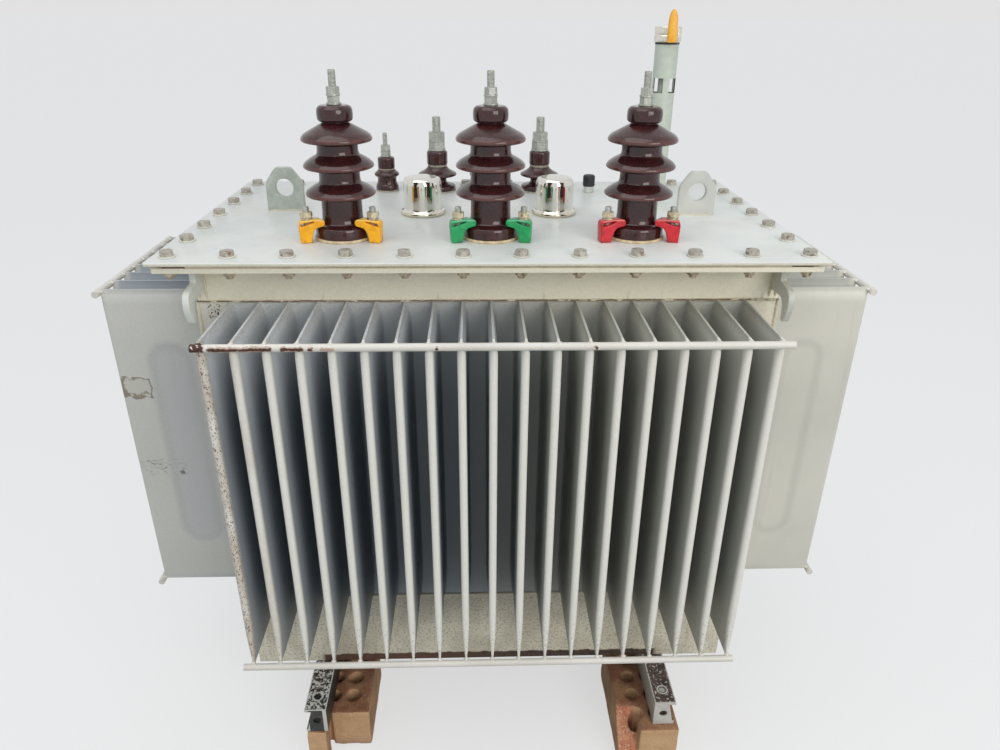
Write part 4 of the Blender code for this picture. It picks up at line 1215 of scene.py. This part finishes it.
def build_thermometer_pocket(black, pale):
    """A pale stub under a ribbed black cap."""
    ribs = [(0.0, 0.0120, 0), (0.0112, 0.0120, 0.0006)]
    ribs += [(0.0120 if step % 2 else 0.0116, 0.0140 + step * 0.0016, 0.0004) for step in range(10)]
    ribs += [(0.0118, 0.0310, 0.001), (0.0100, 0.0338, 0.002), (0.0, 0.0339, 0)]
    form = turned(32, eased(ribs, 3))
    revolve(form, disc_profile(0.0100, 0.0, 0.0125, 0.0008), 32, finish=1)
    node = "thermometer_pocket"
    add_piece(f"{node}_cap", form, [black, pale], [node], foot_of(node))


def windowed_tube(form, radius, wall, low, high, windows):
    """A thin tube with rectangular windows; a window is (angle, half angle, foot, head)."""
    levels = sorted({low, high, *(level for window in windows for level in window[2:])})
    cuts = {round(angle + side * half, 5) for angle, half, _, _ in windows for side in (-1, 1)}
    even = [round(math.tau * step / 64 - math.pi, 5) for step in range(64)]
    angles = sorted(cuts | {angle for angle in even if all(abs(angle - cut) > 0.03 for cut in cuts)})
    count = len(angles)
    out, inner = [
        [[form.verts.new((reach * math.cos(a), reach * math.sin(a), z)) for a in angles] for z in levels]
        for reach in (radius, radius - wall)
    ]

    def is_solid(row, step):
        if not 0 <= row < len(levels) - 1:
            return False
        after = (step + 1) % count
        angle = (angles[step] + angles[after] + (math.tau if after == 0 else 0.0)) / 2
        level = (levels[row] + levels[row + 1]) / 2
        return not any(abs(angle - w[0]) < w[1] and w[2] < level < w[3] for w in windows)

    for row in range(len(levels) - 1):
        for step in range(count):
            if not is_solid(row, step):
                continue
            after = (step + 1) % count
            near, far, up_near, up_far = (row, step), (row, after), (row + 1, step), (row + 1, after)
            for grid in (out, inner):
                form.faces.new([grid[level][at] for level, at in (near, far, up_far, up_near)])
            for start, end, neighbour in (
                (near, far, (row - 1, step)), (up_near, up_far, (row + 1, step)),
                (near, up_near, (row, (step - 1) % count)), (far, up_far, (row, after)),
            ):
                if not is_solid(*neighbour):
                    corners = [grid[level][at] for grid, (level, at) in (
                        (out, start), (out, end), (inner, end), (inner, start)
                    )]
                    form.faces.new(corners).material_index = 1


def build_oil_gauge(paint, bright, plastic, black, pale):
    """The level gauge: windowed tube, inner rod, turned head and its orange pointer."""
    low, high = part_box("gauge_tube")
    foot = foot_of("gauge_tube")
    height = high.z - low.z
    windows = [
        (face + side * math.radians(43), 0.478, 0.190, 0.216)
        for face in (-quarter, quarter) for side in (-1, 1)
    ]
    collar = eased([
        (0.0199, 0.0, 0), (0.0258, 0.0, 0.001), (0.0260, 0.0052, 0.0015), (0.0222, 0.0060, 0.001),
        (0.0218, 0.0085, 0.001), (0.0199, 0.0085, 0), (0.0199, 0.0, 0),
    ], 3)
    form = turned(56, collar)
    windowed_tube(form, 0.02175, 0.002, 0.0055, height, windows)
    add_piece("gauge_tube_painted", form, [paint, black], ["gauge_tube"], foot)
    rod = turned(24, disc_profile(0.0040, 0.0050, height - 0.004, 0.001))
    add_piece("gauge_inner_rod", rod, [pale], (), foot)
    ring = turned(48, disc_profile(0.0226, height - 0.0034, height - 0.0004, 0.0008))
    add_piece("gauge_ring", ring, [black], (), foot)
    head = eased([
        (0.0, 0.0002, 0), (0.0243, 0.0002, 0.001), (0.0250, 0.0020, 0.001), (0.0250, 0.0105, 0.001),
        (0.0240, 0.0118, 0.0005), (0.0240, 0.0132, 0.0005), (0.0247, 0.0145, 0.001),
        (0.0247, 0.0255, 0.001), (0.0235, 0.0268, 0.001), (0.0, 0.0270, 0),
    ], 3)
    place = (*foot[:2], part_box("gauge_head")[0].z)
    add_piece("gauge_head_turned", turned(64, head), [bright], ["gauge_head"], place)

    low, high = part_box("gauge_pointer")
    foot = Vector(foot_of("gauge_pointer"))
    wide = (high.x - low.x) / 2
    tip = high.z - low.z
    shares = ((0.94, 0.0, 0.001), (1.0, 0.30, 0.01), (0.94, 0.80, 0.01), (0.28, 1.0, 0.002))
    outline = eased(mirrored([(wide * across, tip * up, ease) for across, up, ease in shares]), 4, True)
    form = plate([outline], high.y - low.y, 0.0018)
    form.transform(upright_at(foot))
    add_piece("gauge_pointer_moulded", form, [plastic], ["gauge_pointer"], angle=50.0)
    pin = bmesh.new()
    disc(pin, 0.0012, 0.0, 0.0245, (wide + 0.0032, 0.0, 0.0), 0, 14)
    add_piece("gauge_pin", pin, [bright], (), foot - Vector((0.0, 0.0, 0.0008)))


def build_hooks(finish, weld):
    """Sling hooks at the four corners of the upper band."""
    reach, drop = 0.077, 0.079
    shares = (
        (0.0, 0.0, 0.0), (0.44, 0.0, 0.002), (0.44, -0.29, 0.004), (0.86, -0.34, 0.006),
        (0.95, -0.40, 0.004), (1.0, -0.54, 0.006), (0.98, -0.72, 0.006), (0.87, -0.96, 0.004),
        (0.79, -1.0, 0.003), (0.71, -0.95, 0.003), (0.72, -0.78, 0.005), (0.66, -0.62, 0.005),
        (0.58, -0.57, 0.003), (0.12, -0.58, 0.004), (0.0, -0.62, 0.0),
    )
    outline = eased([(out * reach, down * drop, ease) for out, down, ease in shares], 4, True)
    for end, way in (("front", -1), ("back", 1)):
        for side in ("left", "right"):
            node = f"hook_{end}_{side}"
            low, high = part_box(node)
            form = plate([outline], high.x - low.x, 0.0012)
            form.transform(Matrix.Rotation(way * quarter, 4, "Z") @ upright_at(origin))
            form.transform(Matrix.Translation(((low.x + high.x) / 2, way * (half_y + seat), high.z)))
            add_piece(f"{node}_plate", form, [finish], [node], angle=50.0)
            form = bmesh.new()
            y = way * (half_y + 0.0008)
            for x in (low.x, high.x):
                bead(form, (x, y, low.z + 0.020), (x, y, high.z - 0.002), 0.0022, x * 31 + way)
            add_piece(f"{node}_weld", form, [weld], angle=80.0)


def build_lugs(left_finish, right_finish, weld):
    """Lifting lugs on the lid, each with its eye and a fillet weld round its foot."""
    half, height, eye, eye_height = 0.033, 0.076, 0.016, 0.0405
    shares = (
        (1.0, 0.0, 0.0), (0.99, 0.60, 0.004), (0.93, 0.69, 0.003), (0.50, 0.95, 0.004), (0.38, 1.0, 0.003),
    )
    outline = eased(mirrored([(across * half, up * height, ease) for across, up, ease in shares]), 3, True)
    turns = [math.tau * step / 40 for step in range(40)]
    hole = [(eye * math.cos(turn), eye_height + eye * math.sin(turn)) for turn in turns]
    for side, finish in (("left", left_finish), ("right", right_finish)):
        node = f"lifting_lug_{side}"
        low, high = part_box(node)
        foot = foot_of(node)
        form = plate([outline, hole], high.y - low.y, 0.0009)
        form.transform(upright_at(foot))
        add_piece(f"{node}_plate", form, [finish], [node], angle=50.0)
        form = bmesh.new()
        z = deck + 0.0006
        for y in (low.y, high.y):
            bead(form, (low.x + 0.002, y, z), (high.x - 0.002, y, z), 0.0022, y * 50 + foot[0])
        add_piece(f"{node}_weld", form, [weld], angle=80.0)


def build_bricks(finish):
    """Pierced bricks: worn arrises and a grainy, uneven skin; the left front one ends in a flat face."""
    for name in sorted(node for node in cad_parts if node.startswith("brick_")):
        form = bmesh.new()
        form.from_mesh(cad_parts[name].data)
        if name == "brick_front_left":
            box(form, brick_end_low, brick_end_high)
        mesh = bpy.data.meshes.new(name)
        form.to_mesh(mesh)
        form.free()
        guide = bpy.data.objects.new(f"{name}_body", mesh)
        bpy.context.scene.collection.objects.link(guide)
        remesh = guide.modifiers.new("grain", "REMESH")
        remesh.mode = "VOXEL"
        remesh.voxel_size = brick_grain
        form = evaluated(guide)
        bmesh.ops.smooth_vert(
            form, verts=form.verts, factor=0.5, use_axis_x=True, use_axis_y=True, use_axis_z=True
        )
        form.normal_update()
        low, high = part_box(name)
        for vert in form.verts:
            inward = 0.0007 + 0.0007 * noise.fractal(vert.co * 34.0, 0.9, 2.2, 4)
            near_top = max(0.0, 1.0 - (high.z - vert.co.z) / 0.010)
            chip = max(0.0, noise.noise(vert.co * 55.0 + Vector((3.0, 1.0, 2.0))) - 0.18) * near_top
            vert.co -= vert.normal * (inward + 0.010 * chip * (1.0 - abs(vert.normal.z)))
            vert.co = [min(max(at, least), most) for at, least, most in zip(vert.co, low, high)]
        add_piece(f"{name}_clay", form, [finish], [name], angle=50.0)


def build_hole_plug(primer):
    """Pale dirt and primer that fill the front hole of the right rail's top flange."""
    form = turned(28, disc_profile(0.0069, -0.0045, -0.0018, 0.0008))
    add_piece("rail_hole_plug", form, [primer], (), (rail_middle, rail_hole_inset - rail_end, rail_head))


weld_paint = enamel(
    "weld_enamel", "tank_paint", (216, 210, 190), (194, 184, 160), 0.10, 0.2, 0.46, seam_stains
)
beige = enamel("band_enamel", "tank_paint", (236, 230, 208), (226, 219, 197), 0.14, 0.16, 0.44, band_stains_and_painted_light)
sheet = enamel(
    "fin_enamel", "tank_paint", (220, 217, 206), (208, 206, 196), 0.10, 0.10, 0.40,
    fin_stains_and_painted_light, side_fin_marks,
)
rod_paint = enamel(
    "rod_enamel", "tank_paint", (228, 224, 216), (214, 209, 200), 0.08, 0.14, 0.36, rod_stains
)
hook_paint = enamel(
    "hook_enamel", "tank_paint", (220, 223, 216), (206, 208, 200), 0.10, 0.14, 0.42, hook_painted_shade
)
lid_paint = enamel(
    "lid_enamel", "lid_paint", (228, 229, 224), (219, 222, 219), 0.10, 0.12, 0.34, lid_stains
)
lug_paint = enamel("lug_enamel", "lid_paint", (208, 209, 202), (194, 196, 190), 0.12, 0.14, 0.45)
washer_paint = enamel("washer_enamel", "lid_paint", (222, 220, 210), (196, 192, 180), 0.2, 0.4, 0.5)
lug_zinc = metal("lug_zinc", (198, 204, 194), (178, 186, 176), 0.5, 0.15, 90.0)
bolt_zinc = metal("bolt_zinc", (196, 191, 180), (160, 154, 142), 0.46, 0.35, 260.0, (128, 110, 90))
nut_zinc = metal("nut_zinc", (212, 202, 180), (168, 150, 126), 0.60, 0.15, 260.0, (110, 88, 68))
stud_zinc = metal("stud_zinc", (196, 198, 190), (168, 170, 162), 0.45, 0.6, 320.0)
cream_zinc = metal("cream_zinc", (222, 212, 184), (190, 176, 142), 0.42, 0.4, 300.0, (140, 108, 76))
gauge_bright = metal("gauge_aluminium", (240, 236, 224), (224, 219, 205), 0.22, 0.8, 120.0)
cork = plain("cork_seal", "rubber", (228, 208, 172), (196, 172, 136), 0.8)
grey_seal = plain("grey_seal", "rubber", (186, 178, 160), (158, 150, 134), 0.8)
black = plain("black_rubber", "rubber", (26, 26, 28), (40, 40, 42), 0.5)
pale_stub = plain("pale_stub", "lid_paint", (214, 218, 212), (190, 194, 188), 0.45)
gauge_paint = plain("gauge_enamel", "gauge_paint", (206, 214, 200), (198, 206, 193), 0.38)
pointer = plain("pointer_plastic", "gauge_pointer", (254, 186, 36), (242, 164, 24), 0.35, Coat_Weight=0.3)
rail_primer = plain("rail_primer", "rail_paint", (206, 204, 196), (186, 182, 172), 0.7)
clamp_finishes = {
    "left": clamp_enamel("left", (255, 186, 16), (242, 164, 8), (255, 222, 120)),
    "centre": clamp_enamel("centre", (24, 168, 96), (16, 138, 78), (120, 214, 168)),
    "right": clamp_enamel("right", (216, 36, 50), (182, 24, 36), (240, 140, 130)),
}
rail_paint = rail_enamel()

build_fin_walls(sheet, rod_paint)
build_seams(weld_paint)
build_sealing_strip(strip_finish())
build_lid_bolts(bolt_zinc, washer_paint, nut_zinc)
build_bushings(porcelain(), cork, grey_seal, stud_zinc)
build_clamps(clamp_finishes, cream_zinc, stud_zinc)
build_dome_caps(chrome())
build_thermometer_pocket(black, pale_stub)
build_oil_gauge(gauge_paint, gauge_bright, pointer, black, pale_stub)
build_hooks(hook_paint, weld_paint)
build_lugs(lug_zinc, lug_paint, weld_paint)
build_bricks(clay())
build_hole_plug(rail_primer)
for node, width, finish in (
    ("tank_base", 0.0015, beige),
    ("tank_rim", 0.0010, beige),
    ("lid", 0.0010, lid_paint),
    ("rail_left", 0.0008, rail_paint),
    ("rail_right", 0.0008, rail_paint),
):
    eased_node(node, width, finish)

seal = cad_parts["lid_gasket"]
seal.data.materials.clear()
seal.data.materials.append(seal_finish().material)


def show_directly(tree, hidden, shown, output):
    """Joins two shaders: camera, glossy and transmission rays see one, other rays the other."""
    rays = add_node(tree, "ShaderNodeLightPath").outputs
    kinds = ("Camera", "Glossy", "Transmission")
    camera, glossy, through = [Field(rays[f"Is {kind} Ray"]) for kind in kinds]
    mix = add_node(tree, "ShaderNodeMixShader", Fac=camera | glossy | through)
    tree.links.new(hidden.outputs[0], mix.inputs[1])
    tree.links.new(shown.outputs[0], mix.inputs[2])
    tree.links.new(mix.outputs[0], tree.nodes[output].inputs["Surface"])


def build_floor():
    """A plain pale floor that looks light to the eye and sends back only a little light."""
    bpy.ops.mesh.primitive_plane_add(size=floor_size, location=(0.0, 0.0, -0.0005))
    floor = bpy.context.object
    floor.name = "floor"
    ground = bpy.data.materials.new("floor")
    ground.use_nodes = True
    tree = ground.node_tree
    tree.nodes.remove(tree.nodes["Principled BSDF"])
    dark, light = [
        add_node(tree, "ShaderNodeBsdfDiffuse", Color=(shade, shade, shade, 1.0))
        for shade in (floor_bounce, floor_paint)
    ]
    glow = add_node(tree, "ShaderNodeEmission", Strength=floor_glow)
    pale = add_node(tree, "ShaderNodeAddShader")
    for shader, socket in zip((light, glow), pale.inputs):
        tree.links.new(shader.outputs[0], socket)
    show_directly(tree, dark, pale, "Material Output")
    floor.data.materials.append(ground)


def build_light():
    """A pale cool sky, a warm softbox at the front right and a broad one overhead."""
    scene = bpy.context.scene
    world = bpy.data.worlds.new("sky")
    scene.world = world
    world.use_nodes = True
    tree = world.node_tree
    sky = tree.nodes["Background"]
    feed(sky.inputs["Color"], sky_colour)
    feed(sky.inputs["Strength"], sky_strength)
    white = add_node(tree, "ShaderNodeBackground", Color=(1.0, 1.0, 1.0, 1.0), Strength=backdrop)
    show_directly(tree, sky, white, "World Output")
    for name, place, aim, size, power, colour in lamps:
        lamp = bpy.data.lights.new(name, "AREA")
        lamp.shape = "SQUARE"
        lamp.size = size
        lamp.energy = power
        lamp.color = colour
        holder = bpy.data.objects.new(name, lamp)
        scene.collection.objects.link(holder)
        holder.location = place
        holder.rotation_euler = (Vector(aim) - Vector(place)).to_track_quat("-Z", "Y").to_euler()


def build_camera():
    """The camera at the photograph's place, angle and field of view."""
    forward = Vector((
        math.sin(camera_yaw) * math.cos(camera_pitch),
        math.cos(camera_yaw) * math.cos(camera_pitch),
        -math.sin(camera_pitch),
    ))
    level = Vector((math.cos(camera_yaw), -math.sin(camera_yaw), 0.0))
    upright = level.cross(forward)
    right = math.cos(camera_roll) * level + math.sin(camera_roll) * upright
    up = -math.sin(camera_roll) * level + math.cos(camera_roll) * upright
    turn = Matrix((right, up, -forward)).transposed().to_4x4()
    camera = bpy.data.cameras.new("camera")
    camera.sensor_width = sensor_width
    camera.lens = focal_pixels / image_width * sensor_width
    holder = bpy.data.objects.new("camera", camera)
    bpy.context.scene.collection.objects.link(holder)
    holder.matrix_world = Matrix.Translation(camera_place) @ turn
    bpy.context.scene.camera = holder


build_floor()
build_light()
build_camera()
bpy.context.scene.view_settings.view_transform = "Standard"
